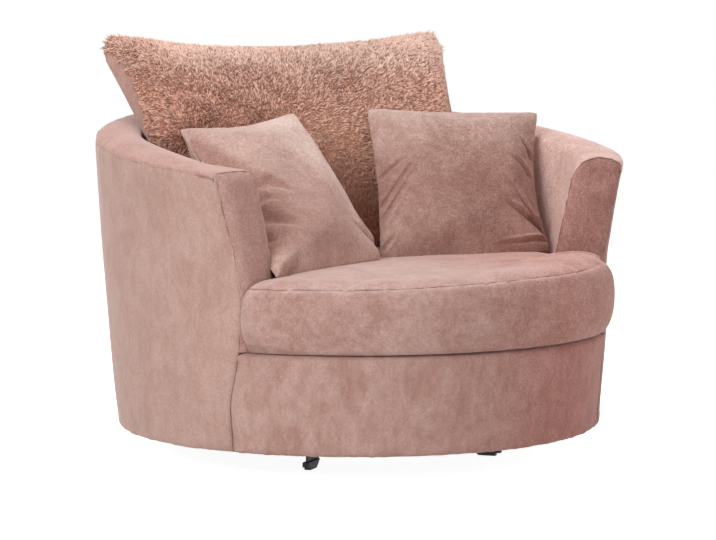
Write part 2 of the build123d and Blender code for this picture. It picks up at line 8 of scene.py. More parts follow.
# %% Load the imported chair
import bmesh
import bpy
import numpy as np
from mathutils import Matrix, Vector


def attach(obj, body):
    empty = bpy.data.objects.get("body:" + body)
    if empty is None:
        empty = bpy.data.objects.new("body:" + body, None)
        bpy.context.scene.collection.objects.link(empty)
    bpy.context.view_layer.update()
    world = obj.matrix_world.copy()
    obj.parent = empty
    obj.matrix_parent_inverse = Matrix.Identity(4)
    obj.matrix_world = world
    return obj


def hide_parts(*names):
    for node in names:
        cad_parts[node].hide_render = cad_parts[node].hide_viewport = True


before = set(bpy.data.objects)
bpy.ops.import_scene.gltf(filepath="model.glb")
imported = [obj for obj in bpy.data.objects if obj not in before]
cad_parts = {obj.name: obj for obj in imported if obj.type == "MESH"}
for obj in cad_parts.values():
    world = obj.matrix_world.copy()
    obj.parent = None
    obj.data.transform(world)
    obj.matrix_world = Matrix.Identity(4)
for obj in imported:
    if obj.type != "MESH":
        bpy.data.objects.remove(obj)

scene = bpy.context.scene
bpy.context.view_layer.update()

# %% [markdown]
# ## Camera
#
# The photograph was taken with a long lens, a little above the seat and to the left of the front.
# Its place was worked out from the round hem, the rim and the feet, so it is set by numbers here.

# %% Camera
PHOTO_WIDTH = 716.0
FOCAL_PIXELS = 2782.0
EYE = (-2.7836, -5.8438, 1.0125)
AIM = (0.0, 0.0, 0.42)


def look_at(place, target):
    return (Vector(target) - Vector(place)).to_track_quat("-Z", "Y").to_euler()


camera = bpy.data.objects.new("camera", bpy.data.cameras.new("camera"))
camera.data.sensor_width = 36.0
camera.data.lens = camera.data.sensor_width * FOCAL_PIXELS / PHOTO_WIDTH
camera.location = EYE
camera.rotation_euler = look_at(EYE, AIM)
scene.collection.objects.link(camera)
scene.camera = camera
scene.view_settings.view_transform = "Standard"
print("lens", round(camera.data.lens, 1), "mm")

# %% [markdown]
# ## Studio
#
# The chair stands in a white studio under large soft lamps, the strongest from the upper left. The
# floor is a real pale surface, so the shadow under the hem is a real one. It glows a little for what
# the camera or a shiny part sees directly, which lifts it to paper white without lighting the chair.

# %% Studio
WHITE = (1.0, 1.0, 1.0, 1.0)
FLOOR_GLOW = 0.93
FLOOR_REACH = 9


def calculate(tree, operation, first, second):
    # One sum on two values, each of them a socket or a plain number
    node = tree.nodes.new("ShaderNodeMath")
    node.operation = operation
    for socket, value in zip(node.inputs, (first, second)):
        if isinstance(value, bpy.types.NodeSocket):
            tree.links.new(value, socket)
        else:
            socket.default_value = value
    return node.outputs[0]


def seen_directly(tree):
    # One where a ray comes straight from the camera, a mirror or clear glass
    path = tree.nodes.new("ShaderNodeLightPath").outputs
    plain_or_mirror = calculate(tree, "MAXIMUM", path["Is Camera Ray"], path["Is Glossy Ray"])
    return calculate(tree, "MAXIMUM", plain_or_mirror, path["Is Transmission Ray"])


def shine(tree, kind, colour, strength=None):
    node = tree.nodes.new(kind)
    node.inputs["Color"].default_value = colour
    if strength is not None:
        node.inputs["Strength"].default_value = strength
    return node


def lamp(name, place, target, size, power, tint=(1.0, 1.0, 1.0)):
    data = bpy.data.lights.new(name, "AREA")
    data.size = size
    data.energy = power
    data.color = tint
    obj = bpy.data.objects.new(name, data)
    obj.location = place
    obj.rotation_euler = look_at(place, target)
    scene.collection.objects.link(obj)


world = bpy.data.worlds.new("studio_air")
world.use_nodes = True
scene.world = world
tree = world.node_tree
tree.nodes.clear()
choose = tree.nodes.new("ShaderNodeMixShader")
soft_fill = shine(tree, "ShaderNodeBackground", (1.0, 0.80, 0.74, 1.0), 0.28)
paper_white = shine(tree, "ShaderNodeBackground", WHITE, 1.0)
tree.links.new(seen_directly(tree), choose.inputs[0])
tree.links.new(soft_fill.outputs[0], choose.inputs[1])
tree.links.new(paper_white.outputs[0], choose.inputs[2])
tree.links.new(choose.outputs[0], tree.nodes.new("ShaderNodeOutputWorld").inputs[0])

floor_mat = bpy.data.materials.new("white_floor")
floor_mat.use_nodes = True
tree = floor_mat.node_tree
tree.nodes.clear()
chalk = shine(tree, "ShaderNodeBsdfDiffuse", (0.86, 0.85, 0.84, 1.0))
glow = shine(tree, "ShaderNodeEmission", WHITE)
both = tree.nodes.new("ShaderNodeAddShader")
tree.links.new(calculate(tree, "MULTIPLY", seen_directly(tree), FLOOR_GLOW), glow.inputs["Strength"])
tree.links.new(chalk.outputs[0], both.inputs[0])
tree.links.new(glow.outputs[0], both.inputs[1])
tree.links.new(both.outputs[0], tree.nodes.new("ShaderNodeOutputMaterial").inputs[0])

floor_corners = [(x * FLOOR_REACH, y * FLOOR_REACH, 0) for x, y in ((-1, -1), (1, -1), (1, 1), (-1, 1))]
floor_mesh = bpy.data.meshes.new("floor")
floor_mesh.from_pydata(floor_corners, [], [(0, 1, 2, 3)])
floor_mesh.materials.append(floor_mat)
floor = bpy.data.objects.new("floor", floor_mesh)
scene.collection.objects.link(floor)

lamp("key", (-4.2, -2.6, 2.9), (0, 0, 0.45), 2.4, 172.0, (0.94, 1.0, 1.0))
lamp("front_fill", (-0.7, -5.2, 1.5), (0.05, 0, 0.6), 2.0, 26.0)
lamp("overhead", (-0.6, -0.2, 4.2), (0, 0, 0.4), 2.6, 70.0)
lamp("side_fill", (4.0, -0.6, 1.5), (0, 0, 0.5), 2.2, 34.0)
lamp("back_fill", (0.6, 4.0, 2.6), (0, 0, 0.5), 2.4, 60.0)

# %% [markdown]
# ## Plush
#
# The cover is a short-pile plush. Where the pile is brushed one way it looks pale, and the other way
# darker, so the cloth is never one colour. Three noises do that: broad clouds for the brushed
# patches, streaks for the brush marks, upright on the tub, and a very fine grain for the pile itself.
# Streaks and grain also drive the bump. Painted light and shade come on top: the scatter cushions are
# painted darker and redder in their folds, below their middles and beside the arm, from a value kept
# on their points; the right side of the chair is painted darker and redder, the inside and rim on the
# right painted lighter, and level cloth facing up gets a painted highlight. The pale edge of pile seen
# at a flat angle is the shader's own sheen.

# %% Words for building a finish
class Finish:
    # A material in the making, with short words for the nodes that the finishes share

    def __init__(self, name, roughness=0.5):
        self.mat = bpy.data.materials.new(name)
        self.mat.use_nodes = True
        self.tree = self.mat.node_tree
        self.shader = self.tree.nodes["Principled BSDF"]
        self.shader.inputs["Roughness"].default_value = roughness
        self.place = self.add("ShaderNodeTexCoord").outputs["Object"]

    def add(self, kind, where=None, **values):
        node = self.tree.nodes.new(kind)
        for key, value in values.items():
            if key in node.inputs:
                node.inputs[key].default_value = value
            else:
                setattr(node, key, value)
        if where is not None:
            self.tree.links.new(where, node.inputs["Vector"])
        return node

    def noise(self, scale, detail, where=None, **values):
        where = self.place if where is None else where
        return self.add("ShaderNodeTexNoise", where, Scale=scale, Detail=detail, **values).outputs["Fac"]

    def stripes(self, direction, scale, distortion, **values):
        wave = self.add("ShaderNodeTexWave", self.place, bands_direction=direction, Scale=scale,
                        Distortion=distortion, **values)
        return wave.outputs["Fac"]

    def value_of(self, name):
        return self.add("ShaderNodeAttribute", attribute_name=name).outputs["Fac"]

    def axis(self, vector, letter):
        return self.add("ShaderNodeSeparateXYZ", vector).outputs[letter]

    def spread(self, source, low, high):
        # Stretches the part of a value between low and high smoothly over 0 to 1
        limits = {"From Min": low, "From Max": high}
        node = self.add("ShaderNodeMapRange", interpolation_type="SMOOTHSTEP", **limits)
        self.tree.links.new(source, node.inputs["Value"])
        return node.outputs[0]

    def between(self, source, low, high):
        # Turns 0 to 1 into low to high
        node = self.add("ShaderNodeMapRange", **{"To Min": low, "To Max": high})
        self.tree.links.new(source, node.inputs["Value"])
        return node.outputs[0]

    def mix(self, factor, first, second, way="MIX"):
        node = self.add("ShaderNodeMix", data_type="RGBA", blend_type=way)
        for number, value in ((0, factor), (6, first), (7, second)):
            if isinstance(value, bpy.types.NodeSocket):
                self.tree.links.new(value, node.inputs[number])
            else:
                node.inputs[number].default_value = (*value, 1) if isinstance(value, tuple) else value
        return node.outputs[2]

    def times(self, tone, gain):
        return self.mix(1.0, tone, gain, "MULTIPLY")

    def tint(self, tone, where, gain):
        # Multiplies the tone by a gain where a value is one
        return self.times(tone, self.mix(where, (1, 1, 1), gain))

    def bump(self, height, strength, distance, over=None):
        node = self.add("ShaderNodeBump", Strength=strength, Distance=distance)
        self.tree.links.new(height, node.inputs["Height"])
        if over is not None:
            self.tree.links.new(over, node.inputs["Normal"])
        return node.outputs[0]

    def sheen(self, weight, roughness, colour, specular):
        self.shader.inputs["Sheen Weight"].default_value = weight
        self.shader.inputs["Sheen Roughness"].default_value = roughness
        self.shader.inputs["Sheen Tint"].default_value = (*colour, 1)
        self.shader.inputs["Specular IOR Level"].default_value = specular

    def done(self, tone, rough, normal):
        for key, source in (("Base Color", tone), ("Roughness", rough), ("Normal", normal)):
            self.tree.links.new(source, self.shader.inputs[key])
        return self.mat


def grey(value):
    return (value, value, value)


# %% Plush finishes
UPRIGHT = (1.0, 1.0, 0.45)
EVEN = (1, 1, 1)


def plush(name, dark, middle, pale, streak=UPRIGHT, painted_right_shading=EVEN, painted_top_light=EVEN, pile=0.15):
    f = Finish(name, 0.85)
    stretched = f.add("ShaderNodeMapping", f.place, Scale=streak).outputs[0]
    clouds = f.noise(9.0, 5.0, Roughness=0.6, Distortion=1.0)
    brushed = f.noise(55.0, 6.0, stretched, Roughness=0.7)
    grain = f.noise(240.0, 4.0, Roughness=0.7)
    stroke = f.spread(brushed, 0.30, 0.70)
    against = f.mix(stroke, dark, middle)
    along_pile = f.mix(stroke, middle, pale)
    tone = f.mix(f.spread(clouds, 0.34, 0.66), against, along_pile)
    toward_right = f.spread(f.axis(f.place, "X"), -0.05, 0.30)
    deep = f.mix(toward_right, grey(1 - pile), grey(1 - 2 * pile))
    high = f.mix(toward_right, grey(1 + pile), grey(1 + 2 * pile))
    tone = f.times(tone, f.mix(f.spread(grain, 0.32, 0.68), deep, high))
    # Painted shade on the right side of the chair, darker and redder; a tint above one paints it lighter
    tone = f.tint(tone, toward_right, painted_right_shading)
    normal = f.add("ShaderNodeNewGeometry").outputs["Normal"]
    # Painted highlight on level cloth that faces up
    tone = f.tint(tone, f.spread(f.axis(normal, "Z"), 0.35, 0.95), painted_top_light)
    # Painted shade where the scatter cushions keep a value on their points: folds, lower halves, arm hollow
    tone = f.tint(tone, f.value_of("painted_cushion_shade"), (0.62, 0.48, 0.46))
    f.sheen(0.45, 0.45, (1.0, 0.86, 0.82), 0.15)
    soft = f.bump(brushed, 0.35, 0.004)
    return f.done(tone, f.between(brushed, 0.78, 0.95), f.bump(grain, 0.5, 0.0012, soft))


# The tints for the right side are painted shade, but painted light on the inside and rim; the seat's tint
# for level cloth is a painted highlight
wall_plush = plush("wall_plush", (0.385, 0.233, 0.195), (0.437, 0.276, 0.237), (0.485, 0.32, 0.281),
                   painted_right_shading=(0.97, 0.84, 0.83), pile=0.12)
plinth_finish = plush("plinth_plush", (0.352, 0.192, 0.158), (0.426, 0.262, 0.226), (0.486, 0.325, 0.288),
                      painted_right_shading=(0.93, 0.66, 0.65), pile=0.13)
inside_plush = plush("inside_plush", (0.40, 0.222, 0.186), (0.475, 0.277, 0.238), (0.54, 0.335, 0.295),
                     painted_right_shading=(1.40, 1.56, 1.60))
# The arm fronts are one plush in two copies; the right one is darker, painted shade
facing_plush = {
    "left": plush("facing_plush_left", (0.392, 0.222, 0.188), (0.462, 0.275, 0.237), (0.512, 0.326, 0.288),
                  pile=0.18),
    "right": plush("facing_plush_right", (0.285, 0.136, 0.113), (0.36, 0.183, 0.156), (0.445, 0.243, 0.211),
                   pile=0.13),
}
seat_plush = plush("seat_plush", (0.340, 0.184, 0.153), (0.422, 0.259, 0.225), (0.488, 0.324, 0.288), EVEN,
                   painted_right_shading=(1.01, 0.82, 0.79), painted_top_light=(1.24, 1.31, 1.35))
pillow_plush = plush("pillow_plush", (0.32, 0.172, 0.14), (0.385, 0.218, 0.182), (0.45, 0.27, 0.232), EVEN)
# The scatter cushions are one plush in two copies; the left is painted paler, the right darker
scatter_plush = {
    "left": plush("scatter_plush_left", (0.55, 0.377, 0.325), (0.655, 0.478, 0.421), (0.743, 0.572, 0.512),
                  EVEN, pile=0.2),
    "right": plush("scatter_plush_right", (0.39, 0.245, 0.205), (0.498, 0.333, 0.286), (0.611, 0.443, 0.392),
                   EVEN, pile=0.14),
}
stitch_mat = plush("stitched_seam", (0.21, 0.10, 0.08), (0.28, 0.15, 0.12), (0.37, 0.21, 0.175))
print("plush finishes", len([m for m in bpy.data.materials if "plush" in m.name]))

# %% [markdown]
# ## Helpers for sewn panels
#
# An upholstered panel is a curved skin with a thickness. Here it is a grid of points for the show
# side and a second grid for the back, joined along the four edges into one closed piece. A grid from
# formulas is used instead of sculpting because neighbouring panels then share the same seam line.

# %% Shapes of numbers
LATTICE = 40


def cloud(points, size, seed):
    # Smooth random values from -1 to 1, with lumps of about the given size
    lattice = np.random.default_rng(seed).uniform(-1, 1, (LATTICE, LATTICE, LATTICE))
    q = np.asarray(points) / size + 500.0
    cell = np.floor(q).astype(int)
    f = q - cell
    f = f * f * (3 - 2 * f)
    total = np.zeros(q.shape[:-1])
    for corner in np.ndindex(2, 2, 2):
        weight = np.ones(q.shape[:-1])
        for axis, step in enumerate(corner):
            weight = weight * (f[..., axis] if step else 1 - f[..., axis])
        x, y, z = np.moveaxis((cell + corner) % LATTICE, -1, 0)
        total += weight * lattice[x, y, z]
    return total


def spots(first, second=0.0, third=0.0):
    # Points for cloud from one, two or three rows of numbers
    return np.stack([first, second + 0 * first, third + 0 * first], axis=-1)


def ease(value, low, high):
    t = np.clip((value - low) / (high - low), 0, 1)
    return t * t * (3 - 2 * t)


def hump(value, centre, width):
    # One at the centre, falling away smoothly on both sides
    return np.exp(-(((value - centre) / width) ** 2))


def fade(distance, length):
    return np.exp(-distance / length)


def draw_in(distance, width):
    # One at a seam, falling to nothing over the given width
    return np.clip(1 - distance / width, 0, 1) ** 2


def distance(points, centre=0.0):
    return np.linalg.norm(points - np.asarray(centre), axis=1)


def unit(vectors):
    return vectors / (distance(vectors)[:, None] + 1e-9)


def length_up_to(points):
    # The length of a line from its start to each of its points
    return np.concatenate([[0], np.cumsum(distance(np.diff(points, axis=0)))])


def along(points, shares, measure=None):
    # Points at the given shares of a line's length, or of the length of another line beside it
    run = length_up_to(points if measure is None else measure)
    return np.stack([np.interp(shares * run[-1], run, column) for column in points.T], axis=1)


def smooth_line(points, count):
    # A smooth curve through control points, evenly spaced by length
    pts = np.asarray(points, float)
    ends = np.vstack([2 * pts[0] - pts[1], pts, 2 * pts[-1] - pts[-2]])
    fine = []
    for p0, p1, p2, p3 in zip(ends, ends[1:], ends[2:], ends[3:]):
        for t in np.linspace(0, 1, 40, endpoint=False):
            bend = (2 * p0 - 5 * p1 + 4 * p2 - p3) * t**2 + (3 * p1 - p0 - 3 * p2 + p3) * t**3
            fine.append(0.5 * (2 * p1 + (p2 - p0) * t + bend))
    return along(np.array(fine + [pts[-1]]), np.linspace(0, 1, count))


# %% Grids, panels and seams
def grid_faces(rows, cols, start=0, wrap=False):
    index = start + np.arange(rows * cols).reshape(rows, cols)
    if wrap:
        index = np.concatenate([index, index[:, :1]], axis=1)
    quads = np.stack([index[:-1, :-1], index[:-1, 1:], index[1:, 1:], index[1:, :-1]], axis=-1)
    return quads.reshape(-1, 4).tolist()


def tube_faces(rows, cols):
    # Rings joined to each other, with a lid on the first and on the last
    lids = [list(range(cols)), list(range((rows - 1) * cols, rows * cols))]
    return grid_faces(rows, cols, 0, True) + lids


def strip_faces(one, two):
    # Faces between two closed loops of points
    return np.stack([one, np.roll(one, -1), np.roll(two, -1), two], axis=-1).tolist()


def edge_loop(rows, cols, start=0):
    index = start + np.arange(rows * cols).reshape(rows, cols)
    return np.concatenate([index[0, :-1], index[:-1, -1], index[-1, :0:-1], index[:0:-1, 0]])


def new_mesh(name, points, faces, welded=True):
    mesh = bpy.data.meshes.new(name)
    mesh.from_pydata(np.asarray(points).reshape(-1, 3).tolist(), [], faces)
    if welded:
        work = bmesh.new()
        work.from_mesh(mesh)
        bmesh.ops.remove_doubles(work, verts=work.verts, dist=1e-6)
        bmesh.ops.recalc_face_normals(work, faces=work.faces)
        work.to_mesh(mesh)
        work.free()
    return mesh


def add_piece(name, points, faces, body, finish, hides=(), welded=True):
    mesh = new_mesh(name, points, faces, welded)
    mesh.polygons.foreach_set("use_smooth", [True] * len(mesh.polygons))
    mesh.materials.append(finish)
    obj = bpy.data.objects.new(name, mesh)
    scene.collection.objects.link(obj)
    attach(obj, body)
    if hides:
        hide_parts(*hides)
    print(name, len(mesh.polygons), "faces")
    return obj


def set_values(mesh, label, values):
    mesh.attributes.new(label, "FLOAT", "POINT").data.foreach_set("value", values)


def panel(name, show, back, finish, hides):
    # A show side and a back side of the same grid, closed along the edges, on the tub
    rows, cols = show.shape[:2]
    count = rows * cols
    points = np.concatenate([show.reshape(-1, 3), back.reshape(-1, 3)])
    rim = strip_faces(edge_loop(rows, cols), edge_loop(rows, cols, count))
    faces = grid_faces(rows, cols) + grid_faces(rows, cols, count) + rim
    return add_piece(name, points, faces, "tub", finish, hides)


def seam_line(name, points, body, seed, radius=0.0008):
    # A dark line of stitches lying in a seam, deeper in some places than in others
    pts = np.asarray(points)
    forward = unit(np.gradient(pts, axis=0))
    side = unit(np.cross(forward, np.array([0.31, 0.23, 0.92])))
    over = np.cross(forward, side)
    wide = radius * np.clip(0.75 + 1.3 * cloud(pts, 0.013, seed), 0.08, 1.7)[:, None]
    turn = np.linspace(0, 2 * np.pi, 7)[:-1]
    ring = np.stack([pts + (side * np.cos(a) + over * np.sin(a)) * wide for a in turn], axis=1)
    return add_piece(name, ring, tube_faces(len(pts), len(turn)), body, stitch_mat)


# %% [markdown]
# ## Sizes of the tub
#
# The tub is a drum that widens a little to the rim, cut by a plane that climbs toward the back. Its
# open front is bounded by two upright planes, splayed toward the sitter, where the arms end. These
# sizes are those of the solids, so the cloth made here lies on them; only the seat's top is 10 mm
# flatter, because it is sat in. The two arms of the real chair are not quite alike, so a few
# functions below bend the left one and the right one differently.

# %% Tub sizes
RIM_R, HEM_R, HEM_Z, RIM_Z = 0.610, 0.561, 0.068, 0.711
RIM_TAN = np.tan(np.radians(6.26))
ARM_TAN = np.tan(np.radians(16.6))
ARM_COS = np.cos(np.radians(16.6))
MOUTH = np.radians(56.6)
WALL_FOOT = 0.090
WALL_SPARE = 0.040
WALL_TOP = RIM_Z + RIM_R * RIM_TAN + WALL_SPARE
FLARE = (RIM_R - HEM_R) / (WALL_TOP - WALL_SPARE - HEM_Z)
SIDE_BOW = 0.005
SEAT_Z, SEAT_SEAM_Z, SEAT_CROWN = 0.288, 0.434, 0.015
SEAM_R, RIM_INNER_R = 0.6065, 0.4985
RIM_CURVE = [
    # radius, height above the plane of the rim
    (RIM_INNER_R, -0.010), (0.5045, 0.0085), (0.5210, 0.0185), (0.5520, 0.0240),
    (0.5820, 0.0200), (0.5990, 0.0110), (0.6060, 0.0025), (SEAM_R, -0.0030),
]


def turn_of(angle):
    # Angle from the front, positive to the right and negative to the left
    return (angle + np.pi) % (2 * np.pi) - np.pi


def wall_r(z):
    middle, half = (WALL_TOP + WALL_FOOT) / 2, (WALL_TOP - WALL_FOOT) / 2
    return HEM_R + FLARE * (z - HEM_Z) + SIDE_BOW * (1 - ((z - middle) / half) ** 2)


def rim_z(y):
    return RIM_Z + RIM_TAN * y


def arm_angle(step, radius):
    # Angle from the front at which an arm front, moved forward by step, meets a radius
    apex = RIM_R * (np.sin(MOUTH) * ARM_TAN - np.cos(MOUTH)) - step / ARM_COS
    a, b, c = 1 + ARM_TAN**2, -2 * apex * ARM_TAN, apex**2 - radius**2
    x = (-b + np.sqrt(b * b - 4 * a * c)) / (2 * a)
    return np.arctan2(x, ARM_TAN * x - apex)


def face_step(z):
    # How far an arm front stands forward of its plane: more at the seat than at the rim
    return 0.041 - 0.025 * (z - SEAT_Z) / (0.698 - SEAT_Z)


def near_arm(angle):
    # One at the end of an arm, fading to nothing a third of the way along it
    return 1 - ease(np.abs(turn_of(angle)), np.radians(57), np.radians(92))


def arm_lean(z, angle, outer=1.0):
    # The free ends of the arms lean outward: in at the seat, out at the rim. The share outer is one on
    # the outside of the wall and nothing on its inside, which leans a little more
    levels = [0.29, 0.40, 0.47, 0.57, 0.67, 0.72]
    inside_shift = np.interp(z, levels, [0.0, -0.014, -0.017, -0.004, 0.011, 0.012])
    outside_shift = np.interp(z, levels, [0.0, -0.012, -0.013, -0.004, 0.008, 0.009])
    return (inside_shift + (outside_shift - inside_shift) * outer) * near_arm(angle)


def rim_crown(angle):
    # The rim's stuffing is fullest at the back. It thins along the right arm, arches up again at that
    # arm's end, and is nearly flat at the end of the left arm
    turn = turn_of(angle)
    right = 0.47 * hump(turn, 1.35, 0.75) + 0.30 * hump(turn, 0.96, 0.22) - 0.62 * hump(turn, 0.95, 0.10)
    left = 0.92 * hump(turn, -0.98, 0.34) + 0.18 * hump(turn, -1.95, 0.45)
    return 1 - right - left


def seam_lift(angle):
    # The rim seam sags a little at the left of the back and at the rounded end of the right arm
    turn = turn_of(angle)
    left = 0.001 * hump(turn, -0.98, 0.18) - 0.003 * hump(turn, -2.0, 0.4)
    return left - 0.009 * hump(turn, 0.96, 0.11)


def round_off(r, height, angle):
    # The inner top edge is rounded down at the arm ends, most on the right, and fuller at the left back
    turn = turn_of(angle)
    reach = fade(np.maximum(r - RIM_INNER_R, 0), 0.016) * ease(height, -0.110, -0.006)
    ends = 0.022 * hump(turn, 0.93, 0.20) + 0.012 * hump(turn, -0.93, 0.20)
    return (0.008 * hump(turn, -1.95, 0.45) - ends) * reach


def left_wrap(z):
    # On the left arm the outside cloth is drawn further round the corner, most of all at the seat
    return 0.016 * ease(z, 0.296, 0.36) * (1 - ease(z, 0.40, 0.67))


def round_point(radius, angle, z):
    return np.stack([radius * np.sin(angle), -radius * np.cos(angle), z + 0 * angle], axis=-1)


print("wall radius at hem and rim", round(float(wall_r(0.09)), 4), round(float(wall_r(0.711)), 4))

# %% [markdown]
# ## Outside cover
#
# One long piece of plush goes round the sides and back, from one arm to the other. It is pulled up
# into the rim seam, so small puckers run down from that seam, and it is turned under the base at the
# hem, where it waves a little. Each column of the grid follows the leaning end seam at the arms.

# %% Outside cover
HEM_TOP = 0.094
COVER_T = 0.009
TUCK_Z = 0.0715
ARM_END_Z = 0.674
TUCK_LINE = [(0.519, 0.0690), (0.540, 0.0665), (0.551, 0.0662), (0.5590, 0.0712), (0.5625, 0.081)]


def end_step(z):
    # The end seam: along the arm front above the seat, along the plinth seam below it
    arm = face_step(z) - 0.007
    plinth = 0.004 + 0.028 * ease(z, 0.150, 0.292)
    return plinth + (arm - plinth) * ease(z, 0.272, 0.296)


def hem_waves(arc, z, size, slow_seed, quick_seed):
    # How far the hem stands out and how far it moves up or down, in slow waves and small ripples
    wave = cloud(spots(arc), size, slow_seed) * fade(np.abs(z - 0.085), 0.03)
    ripple = cloud(spots(arc), 0.022, quick_seed) * fade(np.abs(z - 0.072), 0.010)
    return wave * 0.003 + ripple * 0.002, wave * 0.0016 - np.abs(ripple) * 0.0025


around = np.linspace(0, 1, 361)
hem = smooth_line(TUCK_LINE + [(float(wall_r(HEM_TOP)), HEM_TOP)], 14)
grid = []
for r, z in hem:
    first = arm_angle(end_step(z), max(r, 0.54))
    angle = first + around * (2 * np.pi - 2 * first)
    grid.append((r + 0 * angle, z + 0 * angle, angle, 1.0 + 0 * angle))
for share in np.linspace(0, 1, 64)[1:]:
    level = HEM_TOP + share * (ARM_END_Z - HEM_TOP)
    first = arm_angle(end_step(level), wall_r(level))
    last = 2 * np.pi - arm_angle(end_step(level) + left_wrap(level), wall_r(level))
    angle = first + around * (last - first)
    top = rim_z(-RIM_R * np.cos(angle)) + seam_lift(angle)
    z = HEM_TOP + share * (top - HEM_TOP)
    grid.append((wall_r(z) + arm_lean(z, angle), z, angle, top - z))
radii, heights, angles, below = np.array(grid).transpose(1, 0, 2)
arc = angles * 0.6
to_end = np.minimum(around, 1 - around)[None, :] * 2.4
pucker = cloud(spots(arc, heights * 0.12), 0.016, 11) * fade(below, 0.045) * 0.0016
drag = cloud(spots(arc, heights * 0.12), 0.030, 12) * fade(below, 0.22) * 0.0018
end_pucker = cloud(spots(heights, arc * 0.3), 0.017, 13) * fade(to_end, 0.02) * 0.0014
broad = cloud(spots(arc, heights), 0.17, 15) * 0.0015
rolled = 0.006 * draw_in(below, 0.016) + 0.0025 * draw_in(to_end, 0.018)
hem_out, hem_up = hem_waves(arc, heights, 0.11, 14, 17)
outer = radii + pucker + drag + end_pucker + broad - rolled + hem_out
show = round_point(outer, angles, heights + hem_up)
back = round_point(radii - COVER_T, angles, np.maximum(heights - 0.0005, TUCK_Z - 0.001))
back[:len(hem), :, 2] = np.maximum(heights[:len(hem)], TUCK_Z)
outside = panel("outside_plush", show, back, wall_plush, ["outside_cover"])
seam_line("rim_seam", show[-1] + (0, 0, 0.0005), "tub", 16)

# %% [markdown]
# ## Inside and rim
#
# The inside of the back and arms is one padded sweep that rolls over the rim and ends in the seam on
# its outer edge. Its cross-section is one smooth curve. The lower part has a fixed height and the
# upper part rides on the sloping rim, so each control point mixes the two. Over the timber of the
# rail and the arm posts the padding keeps a least thickness, however far it is rounded down.

# %% Inside and rim
INSIDE_CURVE = [
    # radius, fixed height, share of the rim height
    (0.4915, 0.262, 0.0), (0.4890, 0.330, 0.0), (0.4875, 0.144, 0.5),
    (0.4930, -0.110, 1.0), (0.4965, -0.040, 1.0),
]
PAD_T, LEAST_PAD = 0.011, 0.0028
RIM_END_Z = 0.676
RAIL_IN_R, RAIL_OUT_R = 0.518, 0.588
FAR_BELOW = -0.03

profile = smooth_line(INSIDE_CURVE + [(r, height, 1.0) for r, height in RIM_CURVE], 900)
true_line = np.column_stack([profile[:, 0], profile[:, 1] + 0.7 * profile[:, 2]])
shares = np.concatenate([np.linspace(0, 0.78, 30), np.linspace(0.78, 1, 34)[1:]])
show, back = [], []
for r, fixed, share_rim in along(profile, shares, true_line):
    z_end = fixed + share_rim * RIM_END_Z
    first = arm_angle(face_step(min(z_end, 0.70)) - 0.010, r)
    angle = first + around * (2 * np.pi - 2 * first)
    top = rim_z(-r * np.cos(angle)) + seam_lift(angle)
    z = fixed + share_rim * top
    if share_rim > 0.999 and fixed > 0:
        z = top + fixed * rim_crown(angle)
    if share_rim > 0.999:
        z = z + round_off(r, fixed, angle)
    toward_seam = np.clip((r - RIM_INNER_R) / (SEAM_R - RIM_INNER_R), 0, 1)
    true_r = r + arm_lean(z, angle, toward_seam)
    arc = angle * 0.55
    over = ease(r, 0.498, 0.515)
    tuck = cloud(spots(arc), 0.017, 21) * fade(SEAM_R - r, 0.016) * 0.0018
    soft = cloud(spots(arc, r, z), 0.12, 22) * 0.0022
    end = 0.005 * draw_in(np.minimum(around, 1 - around) * 2.2, 0.016)
    z = z + tuck + (soft - end) * over
    if r > RIM_INNER_R + 0.0001:
        # The timber only counts between the two edges of the rail
        cover = np.interp(true_r, [RAIL_IN_R - 0.006, RAIL_IN_R, RAIL_OUT_R, RAIL_OUT_R + 0.002],
                          [FAR_BELOW, LEAST_PAD, LEAST_PAD, FAR_BELOW])
        timber = rim_z(-true_r * np.cos(angle)) + cover
        z[1:-1] = np.maximum(z, timber)[1:-1]
    show.append(round_point(true_r + (end - soft) * (1 - over), angle, z))
    back_r = true_r + PAD_T * (1 - over) - 0.004 * over * (r > 0.56)
    back.append(round_point(back_r, angle, z - PAD_T * over))
inside = panel("inside_and_rim", np.array(show), np.array(back), inside_plush, ["inside_pad", "rim_pad"])

# %% [markdown]
# ## Arm fronts
#
# Each arm ends in a padded panel, a little thicker at the seat than at the rim. Its edges are pulled
# back into the seam, so the panel is a low cushion of its own. One function makes the right one and
# mirrors it for the left, with the left arm's wrapped corner and the right arm's arched end.

# %% Arm fronts
FRONT_FOOT_Z = 0.2875


